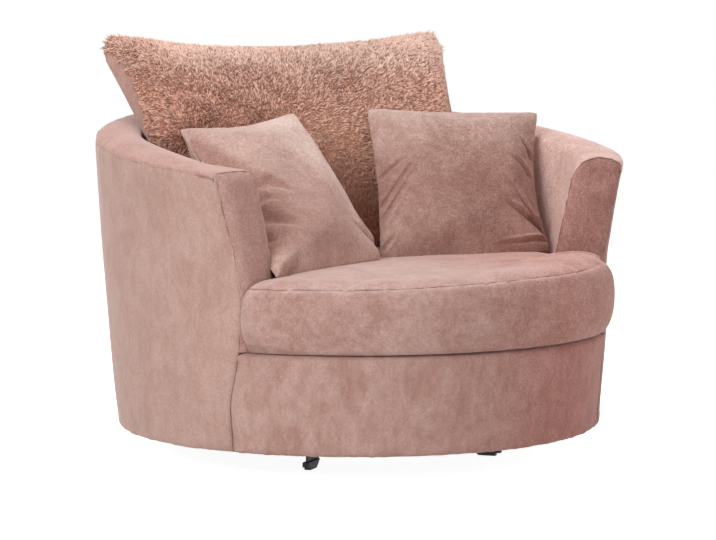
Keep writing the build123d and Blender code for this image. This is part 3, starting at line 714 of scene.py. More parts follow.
def arm_front(name):
    side = 1 if name == "right" else -1
    across, up = np.meshgrid(np.linspace(0, 1, 41), np.linspace(0, 1, 70))
    top_r = SEAM_R + (RIM_INNER_R - SEAM_R) * across
    end_angle = arm_angle(0.012, top_r)
    end_y = -top_r * np.cos(end_angle)
    crown = np.interp(top_r, *np.transpose(RIM_CURVE))
    stuffed = np.where(crown > 0, crown * rim_crown(side * end_angle), crown)
    top = rim_z(end_y) + seam_lift(side * end_angle) + stuffed + round_off(top_r, crown, side * end_angle)
    z = FRONT_FOOT_Z + up * (top - FRONT_FOOT_Z)
    out_r = wall_r(np.minimum(z, 0.68)) - 0.004
    in_r = np.interp(z, [0.262, 0.33, 0.49, 0.57, 0.64, 0.67],
                     [0.4915, 0.489, 0.4875, 0.493, 0.4965, RIM_INNER_R])
    r = out_r + (in_r - out_r) * across
    r = np.where(z > 0.655, r + (top_r - r) * ease(z, 0.655, 0.678), r)
    edge = np.minimum(np.minimum(across, 1 - across) * 0.105, np.maximum(top - z, 0))
    swell = 1 - draw_in(edge, 0.028)
    step = face_step(z) - 0.0065 + 0.0095 * swell
    if name == "left":
        step = step + left_wrap(z) * (1 - across)
    step = step + cloud(spots(r, z), 0.09, 31 + side) * 0.002 * swell
    step = step + cloud(spots(r * 0.4, z), 0.016, 33 + side) * 0.0022 * fade(edge, 0.012)
    angle = arm_angle(step, r)
    back_angle = arm_angle(face_step(z) - 0.022, r)
    r = r + arm_lean(z, angle, 1 - across)
    show, back = round_point(r, angle, z), round_point(r, back_angle, z)
    show[..., 0] *= side
    back[..., 0] *= side
    obj = panel("arm_front_plush_" + name, show, back, facing_plush[name], ["arm_front_" + name])
    if name == "left":
        border = np.concatenate([show[:, 0], show[-1, 1:-1]])
        thick = 0.0008
    else:
        border = np.concatenate([show[-1], show[::-1, -1]])
        thick = 0.0013
    seam_line("arm_front_seam_" + name, border, "tub", 35 + side, thick)


for name in ("left", "right"):
    arm_front(name)

# %% [markdown]
# ## Plinth front
#
# Under the seat the drum is closed by a separate curved panel with an upright seam at each end. It
# turns under at the hem like the sides, and over the edge of the seat deck at the top.

# %% Plinth front
TOP_ROLL = [(float(wall_r(0.268)), 0.268), (float(wall_r(0.278)) - 0.002, 0.279), (0.566, 0.2855),
            (0.552, 0.2868), (0.530, 0.2870)]

wall_rows = [(float(wall_r(z)), z) for z in np.linspace(HEM_TOP, 0.268, 24)[1:-1]]
across = np.linspace(-1, 1, 201)
show, back = [], []
for r, z in np.concatenate([hem, np.array(wall_rows), smooth_line(TOP_ROLL, 12)]):
    last = arm_angle(end_step(min(z, 0.270)), max(r, 0.54))
    angle = across * last
    to_end = (1 - np.abs(across)) * last * 0.57
    arc = angle * 0.57
    end_pucker = cloud(spots(z + 0 * arc, arc * 0.3), 0.018, 41) * fade(to_end, 0.02) * 0.0014
    swell = cloud(spots(arc, z), 0.16, 42) * 0.0025
    hem_out, hem_up = hem_waves(arc, z, 0.10, 43, 47)
    side_share = 1.0 if z < 0.27 else 0.3
    out_r = r + (end_pucker - 0.007 * draw_in(to_end, 0.018) + swell) * side_share + hem_out
    show.append(round_point(out_r, angle, z + hem_up))
    back.append(round_point(r - COVER_T, angle, max(z, TUCK_Z) - (0.008 if z > 0.279 else 0.0)))
plinth = panel("plinth_plush", np.array(show), np.array(back), plinth_finish, ["plinth_cover"])
for side, column in (("left", 0), ("right", -1)):
    seam_line("plinth_seam_" + side, np.array(show)[6:-12, column], "tub", 45)

# %% [markdown]
# ## Seat deck and dust cover
#
# Under the loose seat there is a foam deck in a plain lining cloth, seen when the cushion is lifted,
# and under the base a thin black cloth is stapled to the board. The deck is nearly flat, with a soft
# edge. The dust cover is one sheet that sags a few millimetres between its staples.

# %% Lining cloths
def woven(name, dark, pale, pitch):
    f = Finish(name, 0.9)
    slub = f.noise(60.0, 4.0)
    warp = f.stripes("X", pitch, 1.5, Detail=1.0)
    weft = f.stripes("Y", pitch, 1.5, Detail=1.0)
    threads = calculate(f.tree, "MAXIMUM", warp, weft)
    tone = f.mix(slub, f.mix(threads, dark, pale), dark)
    return f.done(tone, f.between(slub, 0.8, 0.98), f.bump(threads, 0.6, 0.0008))


deck_cloth = woven("deck_lining", (0.30, 0.25, 0.22), (0.52, 0.45, 0.40), 240.0)
dust_cloth = woven("dust_cloth", (0.012, 0.012, 0.013), (0.05, 0.05, 0.052), 300.0)

# %% Seat deck and dust cover
DECK_R, DECK_FRONT_R, DECK_TOP_Z, DECK_FOOT_Z = 0.4825, 0.528, 0.2868, 0.2578
SHEET_IN_R, SHEET_OUT_R, SHEET_Z, SHEET_T = 0.1785, 0.5185, 0.0692, 0.0006

turns = np.linspace(0, 2 * np.pi, 181)[:-1]
open_front = np.abs(turn_of(turns)) < arm_angle(0.0, DECK_R) - 0.03
reach = np.where(open_front, DECK_FRONT_R, DECK_R)
flat_rings = np.linspace(0.02, 0.93, 24)
edge_rings = [(0.96, 0.2864), (0.985, 0.2850), (1.0, 0.2815), (1.0, 0.2610)]
foot_rings = [(share, DECK_FOOT_Z) for share in (0.985, 0.9, 0.5, 0.02)]
rings = [(share, DECK_TOP_Z) for share in flat_rings] + edge_rings + foot_rings
points = np.array([round_point(reach * share, turns, level) for share, level in rings])
flat_top = points[:len(flat_rings)]
flat_top[..., 2] -= 0.0012 * (1 + cloud(flat_top * (1, 1, 0), 0.13, 51))
deck = add_piece("deck_foam", points, tube_faces(len(rings), len(turns)), "tub", deck_cloth,
                 ["seat_deck"])

low = []
for r in np.linspace(SHEET_IN_R, SHEET_OUT_R, 30):
    sag = 0.0035 * np.sin(np.pi * (r - SHEET_IN_R) / (SHEET_OUT_R - SHEET_IN_R))
    low.append(round_point(r, turns, SHEET_Z - sag * (0.8 + 0.2 * np.cos(14 * turns))))
low = np.array(low)
high = low + (0, 0, SHEET_T)
points = np.concatenate([low, high[::-1], low[:1]])
dust = add_piece("dust_sheet", points, grid_faces(len(points), len(turns), 0, True), "tub", dust_cloth,
                 ["dust_cover"])

# %% [markdown]
# ## Seat cushion
#
# The loose seat is a boxed cushion: a top panel, a bottom panel and a border between two seams. Its
# plan has a round front, ears that fill the space before the arms, and a round back. Seen from a
# point near its front that plan is a single loop, so the whole cushion is one grid of rings: over
# the bottom, up the border and inward over the dome. The seams are pulled in and the cloth puckers
# beside them. In the photograph the right ear is fuller and higher than the left one.

# %% Seat cushion
SEAT_FRONT_R, SEAT_BACK_R, SEAT_FLAT_R = 0.577, 0.4765, 0.150
EAR_STEP = 0.0425
SEAT_HUB = np.array([0.0, -0.30])
RIGHT_EAR, LEFT_EAR, RIGHT_SWELL = (0.46, -0.36), (-0.46, -0.36), (0.38, -0.16)
BOTTOM_SHARES = (0.05, 0.4, 0.75, 0.93, 0.985)
BORDER_ROWS = 36
FOOT_ROW = len(BOTTOM_SHARES)
SEAM_ROW = FOOT_ROW + BORDER_ROWS - 1


def dome(radius):
    run = SEAT_FRONT_R - SEAT_FLAT_R
    bend = (run**2 + SEAT_CROWN**2) / (2 * SEAT_CROWN)
    fall = np.sqrt(bend**2 - np.maximum(0, radius - SEAT_FLAT_R) ** 2)
    return SEAT_SEAM_Z + SEAT_CROWN - bend + fall


def seat_outline(count):
    ear = arm_angle(EAR_STEP, SEAT_FRONT_R)
    inner = arm_angle(EAR_STEP, SEAT_BACK_R)
    front = np.linspace(-ear, ear, 160)
    rear = np.linspace(inner, 2 * np.pi - inner, 260)
    loop = np.concatenate([round_point(SEAT_FRONT_R, front, 0.0),
                           round_point(SEAT_BACK_R - 0.010 * near_arm(rear), rear, 0.0)])[:, :2]
    loop = along(np.vstack([loop, loop[:1]]), np.linspace(0, 1, 1441)[:-1])
    kernel = np.hanning(41)
    kernel /= kernel.sum()
    wide = np.vstack([loop[-20:], loop, loop[:20]])
    loop = np.stack([np.convolve(column, kernel, "valid") for column in wide.T], axis=1)
    return loop[:: len(loop) // count]


outline = seat_outline(480)
cols = len(outline)
tangent = unit(np.roll(outline, -1, axis=0) - np.roll(outline, 1, axis=0))
out = np.stack([tangent[:, 1], -tangent[:, 0]], axis=1)
arc = length_up_to(outline)
ring_r = distance(outline)
beyond_arm = ease(ring_r, 0.49, 0.56)
free = beyond_arm * ease(out @ np.array([0, -1.0]) + 0.25 * np.abs(out[:, 0]), 0.05, 0.35)
right_ear = hump(distance(outline, RIGHT_EAR), 0, 0.16)
left_ear = hump(distance(outline, LEFT_EAR), 0, 0.12)
right_rise = ease(np.arctan2(outline[:, 0], -outline[:, 1]), -0.50, 0.40) * beyond_arm
seam_z = dome(ring_r) - 0.006 + 0.013 * right_rise + (0.024 - 0.014 * free) * right_ear - 0.002 * left_ear
seam_grip = 1 - 0.8 * right_ear
border_pucker, top_pucker, slow = (cloud(spots(arc), size, seed) for size, seed in
                                   ((0.015, 61), (0.017, 62), (0.14, 63)))
rows = []
for share in BOTTOM_SHARES:
    rows.append(np.column_stack([SEAT_HUB + (outline - SEAT_HUB) * share, np.full(cols, SEAT_Z + 0.0006)]))
for k in np.linspace(0, 1, BORDER_ROWS):
    bulge = (1 - (2 * k - 1) ** 2) ** 0.62
    to_seam = min(k, 1 - k) * (SEAT_SEAM_Z - SEAT_Z)
    push = bulge * (0.002 + 0.0165 * free + 0.015 * right_ear * free)
    push = push - 0.0035 * fade(to_seam, 0.006) * seam_grip
    push = push + 0.006 * right_ear * free * ease(k, 0.45, 1.0)
    push = push + 0.0016 * border_pucker * fade(to_seam, 0.022) * (0.3 + 0.7 * free)
    push = push + 0.0022 * slow * bulge * free
    z = SEAT_Z + 0.0008 + k * (seam_z - SEAT_Z) + 0.016 * left_ear * free * (1 - k) ** 2
    rows.append(np.column_stack([outline + out * push[:, None], z]))
for share in np.concatenate([np.linspace(0.004, 0.08, 20), np.linspace(0.095, 0.98, 46)]):
    depth = share * distance(outline, SEAT_HUB)
    ring = SEAT_HUB + (outline - SEAT_HUB) * (1 - share)
    ring = ring + out * (0.006 * right_ear * free * fade(depth, 0.06))[:, None]
    swell = 1 - (1 - np.clip(depth / 0.060, 0, 1)) ** 2.4
    z = dome(distance(ring)) - 0.006 + 0.0115 * swell
    z = z + (0.024 * right_ear + 0.013 * right_rise) * hump(depth, 0, 0.17)
    z = z - 0.002 * left_ear * hump(depth, 0, 0.12) - 0.014 * right_ear * free * fade(depth, 0.034)
    z = z + 0.008 * hump(distance(ring, RIGHT_SWELL), 0, 0.20) * swell
    z = z - 0.0035 * fade(depth, 0.006) * seam_grip + 0.0017 * top_pucker * fade(depth, 0.024)
    z = z + cloud(spots(ring[:, 0], ring[:, 1]), 0.13, 64) * 0.0028 * swell
    rows.append(np.column_stack([ring, z]))
rows = np.array(rows)
seat = add_piece("seat_plush_cushion", rows, tube_faces(len(rows), cols), "seat_cushion", seat_plush,
                 ["seat_cushion"])
in_view = np.where((free > 0.02) & (right_ear < 0.5))[0]
seam_line("seat_seam_top", rows[SEAM_ROW][in_view], "seat_cushion", 65)
seam_line("seat_seam_foot", rows[FOOT_ROW][np.where(free > 0.02)[0]] + (0, 0, 0.0012), "seat_cushion", 66)

# %% [markdown]
# ## Back cushion
#
# The large back cushion is stuffed until it hugs the round wall. It leans back, is widest at the top
# and spills its top corners over the rim. Front and back are two surfaces over the same outline,
# each from three plan lines: at the foot, at the rim and at the top. A narrow border joins them. The
# top edge sags between the corners because the filling is soft.

# %% Back cushion
BACK_TOP_Z, BACK_FOOT_HUG, BACK_HUG = 0.938, 0.435, 0.481
FOOT_HALF = 0.322
FRONT_FOOT = [(-FOOT_HALF, 0.268), (-0.24, 0.245), (0, 0.262), (0.24, 0.245), (FOOT_HALF, 0.268)]
FRONT_RIM = [(-0.466, 0.166), (-0.480, 0.110), (-0.463, 0.050), (-0.39, 0.050), (-0.27, 0.105),
             (-0.13, 0.165), (0, 0.190), (0.13, 0.182), (0.24, 0.176), (0.310, 0.186), (0.348, 0.218),
             (0.372, 0.265)]
FRONT_TOP = [(-0.480, 0.420), (-0.2, 0.422), (0, 0.422), (0.2, 0.424), (0.436, 0.432)]

back_foot_z = float(dome(BACK_FOOT_HUG - 0.170)) + 0.008
hug = (RIM_Z + RIM_R * RIM_TAN - 0.048 - back_foot_z) / (BACK_TOP_Z - back_foot_z)


def full_curve(v, foot, middle, top):
    # From the foot up to the fattest level and over a full, rounded upper part
    low = np.clip(v / hug, 0, 1)
    high = np.clip((v - hug) / (1 - hug), 0, 1)
    lower = middle + (foot - middle) * (1 - low) ** 2
    upper = middle + (top - middle) * (1 - (1 - high**1.65) ** (1 / 1.65))
    return np.where(v < hug, lower, upper)


def flat_curve(v, foot, middle, top):
    # One plain bend through the three depths
    below = foot * (v - hug) * (v - 1) / hug
    return below + middle * v * (v - 1) / (hug * (hug - 1)) + top * v * (v - hug) / (1 - hug)


def back_form(cols, v):
    # The front and the back of the cushion, left to right and from the foot up
    turn = np.linspace(-1, 1, cols)
    rim_x = 0.410 * turn - 0.014
    foot_far = np.stack([FOOT_HALF * turn, np.sqrt(BACK_FOOT_HUG**2 - (FOOT_HALF * turn) ** 2)], axis=1)
    rim_far = np.stack([rim_x, np.sqrt(BACK_HUG**2 - rim_x**2) - 0.004], axis=1)
    top_far = np.stack([0.4570 * turn - 0.0200, 0.472 - 0.012 * turn**2], axis=1)
    near_lines = [smooth_line(line, cols) for line in (FRONT_FOOT, FRONT_RIM, FRONT_TOP)]
    u = turn[None, :] + 0 * v
    top_z = BACK_TOP_Z - 0.008 + 0.026 * u * u + 0.006 * ease(u, 0.05, 0.45)
    top_z = top_z + 0.008 * ease(np.abs(u), 0.5, 0.85)
    top_z = top_z - 0.036 * ease(u, 0.90, 1.0) ** 2 - 0.017 * ease(-u, 0.90, 1.0) ** 2
    z = back_foot_z + (top_z - back_foot_z) * v
    above = (v - hug) / (1 - hug)
    sides = []
    for curve, (low, mid, high) in ((full_curve, near_lines), (flat_curve, (foot_far, rim_far, top_far))):
        lower_x = low[:, 0] + (mid[:, 0] - low[:, 0]) * ease(v / hug, 0, 1.1)
        x = np.where(v < hug, lower_x, mid[:, 0] + (high[:, 0] - mid[:, 0]) * above)
        y = curve(v, low[:, 1], mid[:, 1], high[:, 1])
        straight = mid[:, 1] + (high[:, 1] - mid[:, 1]) * above
        y = np.where(v > hug, y + (straight - y) * np.abs(u) ** 7, y)
        x = x - 0.013 * ease(-u, 0.90, 1.0) * ease(v, 0.92, 1.0)
        sides.append(np.stack([x, y, z], axis=-1))
    return sides


def clear_of_rim(points):
    # Keeps points off the wall, and lets the cushion spread over the rim once it is above it
    r = np.hypot(points[..., 0], points[..., 1])
    over = points[..., 2] - rim_z(points[..., 1])
    most = np.interp(over, [-0.10, -0.04, -0.01, 0.0085, 0.0185, 0.027],
                     [0.4905, 0.4935, 0.4955, 0.5015, 0.518, 0.62])
    points[..., :2] *= np.minimum(1.0, most / np.maximum(r, 1e-6))[..., None]
    return points


BACK_COLS = 171
EVEN_UP_TO = 0.55
closer_steps = EVEN_UP_TO + (1 - EVEN_UP_TO) * (1 - np.linspace(1, 0, 62)[1:] ** 1.5)
steps_up = np.concatenate([np.linspace(0, EVEN_UP_TO, 50), closer_steps])
u, v = np.meshgrid(np.linspace(-1, 1, BACK_COLS), steps_up)
front, rear = (clear_of_rim(side) for side in back_form(BACK_COLS, v))
lumps = cloud(front, 0.085, 71) * 0.006 + cloud(front, 0.035, 72) * 0.0025
front[..., 1] -= lumps * np.clip(np.minimum(1 - np.abs(u), np.minimum(v, 1 - v)) / 0.12, 0, 1)
BACK_ROWS = len(u)
size = BACK_ROWS * BACK_COLS
loop = edge_loop(BACK_ROWS, BACK_COLS)
near_line, far_line = front.reshape(-1, 3)[loop], rear.reshape(-1, 3)[loop]
centre = ((near_line + far_line) / 2).mean(axis=0)
strips = []
for share in np.linspace(0, 1, 8)[1:-1]:
    line = near_line + (far_line - near_line) * share
    grow = unit((line - centre) * (1, 0, 1))
    strips.append(line + grow * 0.007 * np.sin(np.pi * share) * (line[:, 2:3] > back_foot_z + 0.02))
points = np.concatenate([front.reshape(-1, 3), rear.reshape(-1, 3)] + strips)
faces = grid_faces(BACK_ROWS, BACK_COLS) + grid_faces(BACK_ROWS, BACK_COLS, size)
between = [2 * size + k * len(loop) + np.arange(len(loop)) for k in range(len(strips))]
loops = [loop] + between + [loop + size]
for one, two in zip(loops[:-1], loops[1:]):
    faces += strip_faces(one, two)
back_pillow = add_piece("back_plush_cushion", points, faces, "back_cushion", pillow_plush,
                        ["back_cushion"])
print("back cushion", np.round(points.min(axis=0), 3), np.round(points.max(axis=0), 3))

# %% [markdown]
# ## Fur
#
# The front of the back cushion is a deep shaggy pile. It could be hair particles, but those vanish
# from an exported model, so each tuft is a small mesh: a bent, tapering cone, dark at its root and
# pale at its tip, a painted shade deep in the pile and a painted highlight on the tips. The tufts lean
# outward and down, each a little its own way, and stand out past the edge of the cushion, which gives
# the soft outline. They are made in four pieces, side by side. On the left a narrow strip of plain
# plush stays bare below the top corner, as on the real cushion.

# %% Fur finish
# The cushion's skin under the fur is nearly the dark root colour, a painted shade between the tufts
UNDER_FUR = 0.12
FUR_END = 0.992


def fur(name, root, middle, tip):
    f = Finish(name, 0.8)
    reach = f.value_of("toward_tip")
    clumps = f.noise(120.0, 3.0)
    clouds = f.noise(9.0, 3.0)
    tone = f.mix(f.between(clumps, 0.0, 0.25), f.mix(reach, root, tip), middle)
    tone = f.times(tone, f.mix(clouds, (0.94, 0.925, 0.92), (1.06, 1.06, 1.06)))
    x, z = f.axis(f.place, "X"), f.axis(f.place, "Z")
    # Painted light: paler and cooler along the top and brighter at the right end; painted shade at the left
    # end
    tone = f.tint(tone, f.spread(z, 0.84, 0.92), (0.96, 1.06, 1.12))
    tone = f.tint(tone, f.spread(x, 0.05, 0.42), (1.29, 1.35, 1.38))
    tone = f.tint(tone, f.spread(x, -0.28, -0.42), (0.90, 0.81, 0.77))
    # Painted light low in the middle, in the shaded gap between the scatter cushions
    painted_light_gap = calculate(f.tree, "MULTIPLY", f.spread(z, 0.86, 0.64), f.spread(x, -0.40, -0.24))
    tone = f.mix(painted_light_gap, tone, f.mix(reach, (0.70, 0.40, 0.29), (1.17, 0.73, 0.555)))
    f.sheen(0.3, 0.5, (1.0, 0.88, 0.82), 0.2)
    return f.done(tone, f.between(clumps, 0.65, 0.95), f.bump(clumps, 0.3, 0.001))


def bare_edge(up):
    # Where the fur starts, from -1 at the left edge: a strip below the corner is left bare
    return np.interp(up, [0.45, 0.80, 0.93], [-0.90, -0.953, -FUR_END])


# Dark roots are painted shade deep in the pile; the tips, above white in red, are a painted highlight
fur_mat = fur("long_fur", (0.19, 0.066, 0.044), (0.76, 0.40, 0.29), (1.10, 0.735, 0.595))
back_pillow.data.materials.append(fur_mat)
front_faces = (BACK_ROWS - 1) * (BACK_COLS - 1)
for k, face in enumerate(back_pillow.data.polygons[:front_faces]):
    row, col = divmod(k, BACK_COLS - 1)
    furry = bare_edge(row / (BACK_ROWS - 1)) - 0.015 < col / (BACK_COLS - 1) * 2 - 1 < 0.965
    face.material_index = 1 if furry else 0
set_values(back_pillow.data, "toward_tip", np.full(len(back_pillow.data.vertices), UNDER_FUR))

# %% Fur tufts
MOST_TUFTS = 13300
RINGS = ((0.0, 1.0), (0.45, 1.0), (0.78, 0.62))


def tufts(name, surface, density, seed, low, high):
    # Bent cones rooted on the columns of a surface between low and high
    rng = np.random.default_rng(seed)
    rows, cols = surface.shape[:2]
    origin = surface[:-1, low:high - 1]
    to_next = surface[:-1, low + 1:high] - origin
    to_upper = surface[1:, low:high - 1] - origin
    cell = np.linalg.norm(np.cross(to_next, to_upper), axis=-1)
    column_share = np.arange(low, high - 1) / (cols - 1) * 2 - 1
    sideways, up = np.meshgrid(column_share, np.arange(rows - 1) / (rows - 1))
    cell = cell * (sideways > bare_edge(up)) * (sideways < FUR_END)
    wanted = int(min(density * cell.sum(), MOST_TUFTS))
    chosen = rng.choice(cell.size, wanted, p=(cell / cell.sum()).ravel())
    a, b = chosen // cell.shape[1], chosen % cell.shape[1] + low
    fi, fj = rng.uniform(0, 1, (2, wanted, 1))
    root = (surface[a, b] * (1 - fi) * (1 - fj) + surface[a + 1, b] * fi * (1 - fj)
            + surface[a, b + 1] * (1 - fi) * fj + surface[a + 1, b + 1] * fi * fj)
    normal = unit(np.cross(surface[a, b + 1] - surface[a, b], surface[a + 1, b] - surface[a, b]))
    away = unit((root - surface.reshape(-1, 3).mean(axis=0)) * (1, 0, 1))
    near = np.stack([cloud(root, 0.009, seed + k) for k in (1, 2, 3)], axis=1)
    wide = np.stack([cloud(root, 0.055, seed + k) for k in (4, 5, 6)], axis=1)
    to_top = ease(a / (rows - 1), 0.90, 1.0)
    to_side = ease(np.abs(b / (cols - 1) * 2 - 1), 0.90, 1.0)
    corner = ease(a / (rows - 1), 0.78, 0.96)
    outward = 0.45 + 0.5 * to_top - 0.5 * to_side * (1 - 1.8 * corner)
    lean = near * 0.55 + wide * 0.35 + away * outward[:, None] + (0, 0, -0.2)
    lean -= normal * np.sum(lean * normal, axis=1)[:, None]
    long = rng.uniform(0.0090, 0.0140, wanted)[:, None]
    long = long * (1 + np.maximum(to_top, corner * to_side)[:, None] * rng.uniform(-0.2, 0.6, (wanted, 1)))
    thick = rng.uniform(0.0011, 0.0018, wanted)[:, None]
    across = unit(np.cross(normal, lean + rng.normal(0, 0.05, (wanted, 3))))
    points, shade = [], []
    for t, width in RINGS:
        middle = root - normal * 0.002 + normal * long * 0.62 * t + lean * long * (0.45 * t + 0.55 * t * t)
        stem = unit(normal * 0.62 + lean * (0.45 + 1.1 * t))
        over = np.cross(stem, across)
        for angle in np.arange(3) * np.pi / 1.5 + 0.5:
            points.append(middle + (across * np.cos(angle) + over * np.sin(angle)) * thick * width)
            shade.append(t**1.3)
    points.append(root + normal * long * 0.60 + lean * long)
    shade.append(1.0)
    start = np.arange(wanted)[:, None] * len(points)
    faces = []
    for ring in (0, 3):
        for k in range(3):
            quad = [ring + k, ring + (k + 1) % 3, ring + 3 + (k + 1) % 3, ring + 3 + k]
            faces += (start + np.array([quad])).tolist()
    for k in range(3):
        faces += (start + np.array([[6 + k, 6 + (k + 1) % 3, 9]])).tolist()
    obj = add_piece(name, np.stack(points, axis=1), faces, "back_cushion", fur_mat, welded=False)
    # Tips are paler at random, and painted paler toward the top of the cushion, a painted highlight
    pale = rng.uniform(0.38, 1.50, (wanted, 1)) + 0.40 * ease(root[:, 2:], 0.87, 0.93)
    pale = pale + 0.7 * cloud(root, 0.0055, seed + 9)[:, None]
    set_values(obj.data, "toward_tip", np.clip(np.array(shade)[None, :] * pale, 0, 1).ravel())


tuft_density = 96000
column_ends = [0, 43, 86, 129, 170]
for k in range(4):
    tufts("fur_%d" % (k + 1), front, tuft_density, 80 + 20 * k, column_ends[k], column_ends[k + 1] + 1)

# %% [markdown]
# ## Scatter cushions
#
# A scatter cushion is two squares of plush sewn edge to edge and filled. That is exactly what a cloth
# simulation can do: two flat layers joined at the rim are blown up by an inner pressure, and the sewn
# edge draws in between the corners. Its thickness is kept, with a small share of that edge, because
# the photograph shows nearly straight edges. The cushion is then leaned into place over four corners
# and its folds are pressed in by formula. The plush is darkened with painted shade in the folds, below
# the middle and, on the left cushion, in the hollow beside the arm, and left pale along the top; all
# of that is kept in one value on the points.

# %% Scatter cushions by cloth simulation
SQUARE_HALF, SQUARE_CELLS, CLOTH_STEPS = 0.215, 60, 20
CLOTH = {
    "quality": 7, "mass": 0.25, "use_pressure": True, "uniform_pressure_force": 2.5,
    "tension_stiffness": 25, "compression_stiffness": 25, "bending_stiffness": 0.4,
}


def places(mesh):
    return np.array([tuple(p.co) for p in mesh.vertices])


def blown_square(seed):
    line = np.linspace(-SQUARE_HALF, SQUARE_HALF, SQUARE_CELLS)
    x, y = np.meshgrid(line, line)
    rise = 0.010 * (1 - (x / SQUARE_HALF) ** 2) * (1 - (y / SQUARE_HALF) ** 2)
    rise = rise + np.random.default_rng(seed).uniform(-0.0005, 0.0005, x.shape) * (rise > 0)
    layers = np.stack([spots(x, y, rise), spots(x, y, -rise)])
    faces = grid_faces(SQUARE_CELLS, SQUARE_CELLS)
    faces = faces + [f[::-1] for f in grid_faces(SQUARE_CELLS, SQUARE_CELLS, SQUARE_CELLS**2)]
    mesh = new_mesh("blown_square", layers, faces)
    flat = places(mesh)
    polys = [list(p.vertices) for p in mesh.polygons]
    obj = bpy.data.objects.new("blown_square", mesh)
    scene.collection.objects.link(obj)
    cloth = obj.modifiers.new("cloth", "CLOTH")
    for key, value in CLOTH.items():
        setattr(cloth.settings, key, value)
    cloth.settings.effector_weights.gravity = 0.0
    for step in range(1, CLOTH_STEPS + 1):
        scene.frame_set(step)
    points = places(obj.evaluated_get(bpy.context.evaluated_depsgraph_get()).to_mesh())
    scene.frame_set(1)
    bpy.data.objects.remove(obj)
    print("blown square", np.round(points.max(axis=0) - points.min(axis=0), 3))
    return points, flat, polys


# %% Folds and the lean
FOLD_DEPTH = 0.013
FROM_CLOTH = 0.08


def crease(s, t, start, end, width, depth, ridge=0.7):
    # A fold with a ridge beside it, deepest near its start and fading toward its end
    line = np.subtract(end, start)
    forward = ((s - start[0]) * line[0] + (t - start[1]) * line[1]) / (line @ line)
    off = ((s - start[0]) * line[1] - (t - start[1]) * line[0]) / np.linalg.norm(line) / width
    off = off / (1 - 0.55 * np.clip(forward, 0, 1))
    strength = ease(forward, -0.12, 0.12) * (1 - ease(forward, 0.2, 1.05))
    return depth * strength * (ridge * hump(off, 1.5, 1.0) - hump(off, 0, 1.0))


def finer(obj, fields):
    # One smooth subdivision made real; the named values of the points are carried along
    for label, values in fields.items():
        set_values(obj.data, label, values)
    split = obj.modifiers.new("split", "SUBSURF")
    split.levels = split.render_levels = 1
    shape = obj.evaluated_get(bpy.context.evaluated_depsgraph_get())
    mesh = bpy.data.meshes.new_from_object(shape)
    obj.modifiers.remove(split)
    obj.data = mesh
    carried = []
    for label in fields:
        values = np.zeros(len(mesh.vertices))
        mesh.attributes[label].data.foreach_get("value", values)
        mesh.attributes.remove(mesh.attributes[label])
        carried.append(values)
    return carried


def lean_cushion(side, corners, seed, half_t, folds, draw, painted_shade):
    # Leans a blown square over its corners: left foot, right foot, right top, left top
    points, flat, polys = blown_square(seed)
    corner_reach = np.sort(np.abs(points[:, 0]) + np.abs(points[:, 1]))[-8:].mean() / 2
    s0, t0 = flat[:, 0] / SQUARE_HALF, flat[:, 1] / SQUARE_HALF
    blunt = 1.03 - 0.022 * ease(np.abs(s0 * t0), 0.84, 1.0)
    draw_s = np.where(s0 > 0, draw["right"], draw["left"]) * (1 - t0**2)
    draw_t = np.where(t0 > 0, draw["top"], draw["foot"]) * (1 - s0**2)
    s = blunt * ((1 - FROM_CLOTH) * s0 * (1 - draw_s) + FROM_CLOTH * points[:, 0] / corner_reach)
    t = blunt * ((1 - FROM_CLOTH) * t0 * (1 - draw_t) + FROM_CLOTH * points[:, 1] / corner_reach)
    thick = points[:, 2] / np.abs(points[:, 2]).max() * half_t
    fa, fb, tb, ta = (np.array(c) for c in corners)
    p, q = ((s + 1) / 2)[:, None], ((t + 1) / 2)[:, None]
    place = fa * (1 - p) * (1 - q) + fb * p * (1 - q) + tb * p * q + ta * (1 - p) * q
    normal = np.cross((fb + tb) - (fa + ta), (ta + tb) - (fa + fb))
    normal /= np.linalg.norm(normal)
    normal *= -1 if normal[1] > 0 else 1
    face = np.clip(np.abs(thick) / (0.14 * half_t), 0, 1)
    push = thick + cloud(spots(s0, t0), 0.45, seed + 7) * 0.004 * face
    node = "scatter_cushion_" + side
    obj = add_piece("scatter_plush_" + side, place + normal * push[:, None], polys, node,
                    scatter_plush[side], [node])
    s0, t0, thick = finer(obj, {"s": s0, "t": t0, "thick": thick})
    face = np.clip(np.abs(thick) / (0.14 * half_t), 0, 1)
    pressed = sum(crease(s0, t0, *fold) for fold in folds) * face
    place = places(obj.data) + normal * pressed[:, None]
    obj.data.vertices.foreach_set("co", place.ravel())
    # Painted shade: darker where a fold is pressed into the front face, plus the shade given for each place
    painted_cushion_shade = np.clip(-pressed / FOLD_DEPTH, 0, 1) * (thick > 0) + painted_shade(s0, t0)
    set_values(obj.data, "painted_cushion_shade", np.clip(painted_cushion_shade, 0, 1))
    smooth = obj.modifiers.new("smooth", "SUBSURF")
    smooth.levels = smooth.render_levels = 1


def on_seat(x, y, lift=0.0):
    return (x, y, float(dome(np.hypot(x, y))) + 0.005 + lift)


# %% The two cushions
HALF_THICK = 0.066


def painted_shade_right(s, t):
    # Painted shade: pale along the top and darkest below the middle; the same from side to side,
    # whatever s is
    shade_by_height = np.interp(t, [-0.8, -0.5, -0.15, 0.2, 0.56, 0.92], [0.36, 0.74, 0.95, 0.70, 0.36, -0.1])
    return shade_by_height + 0 * s


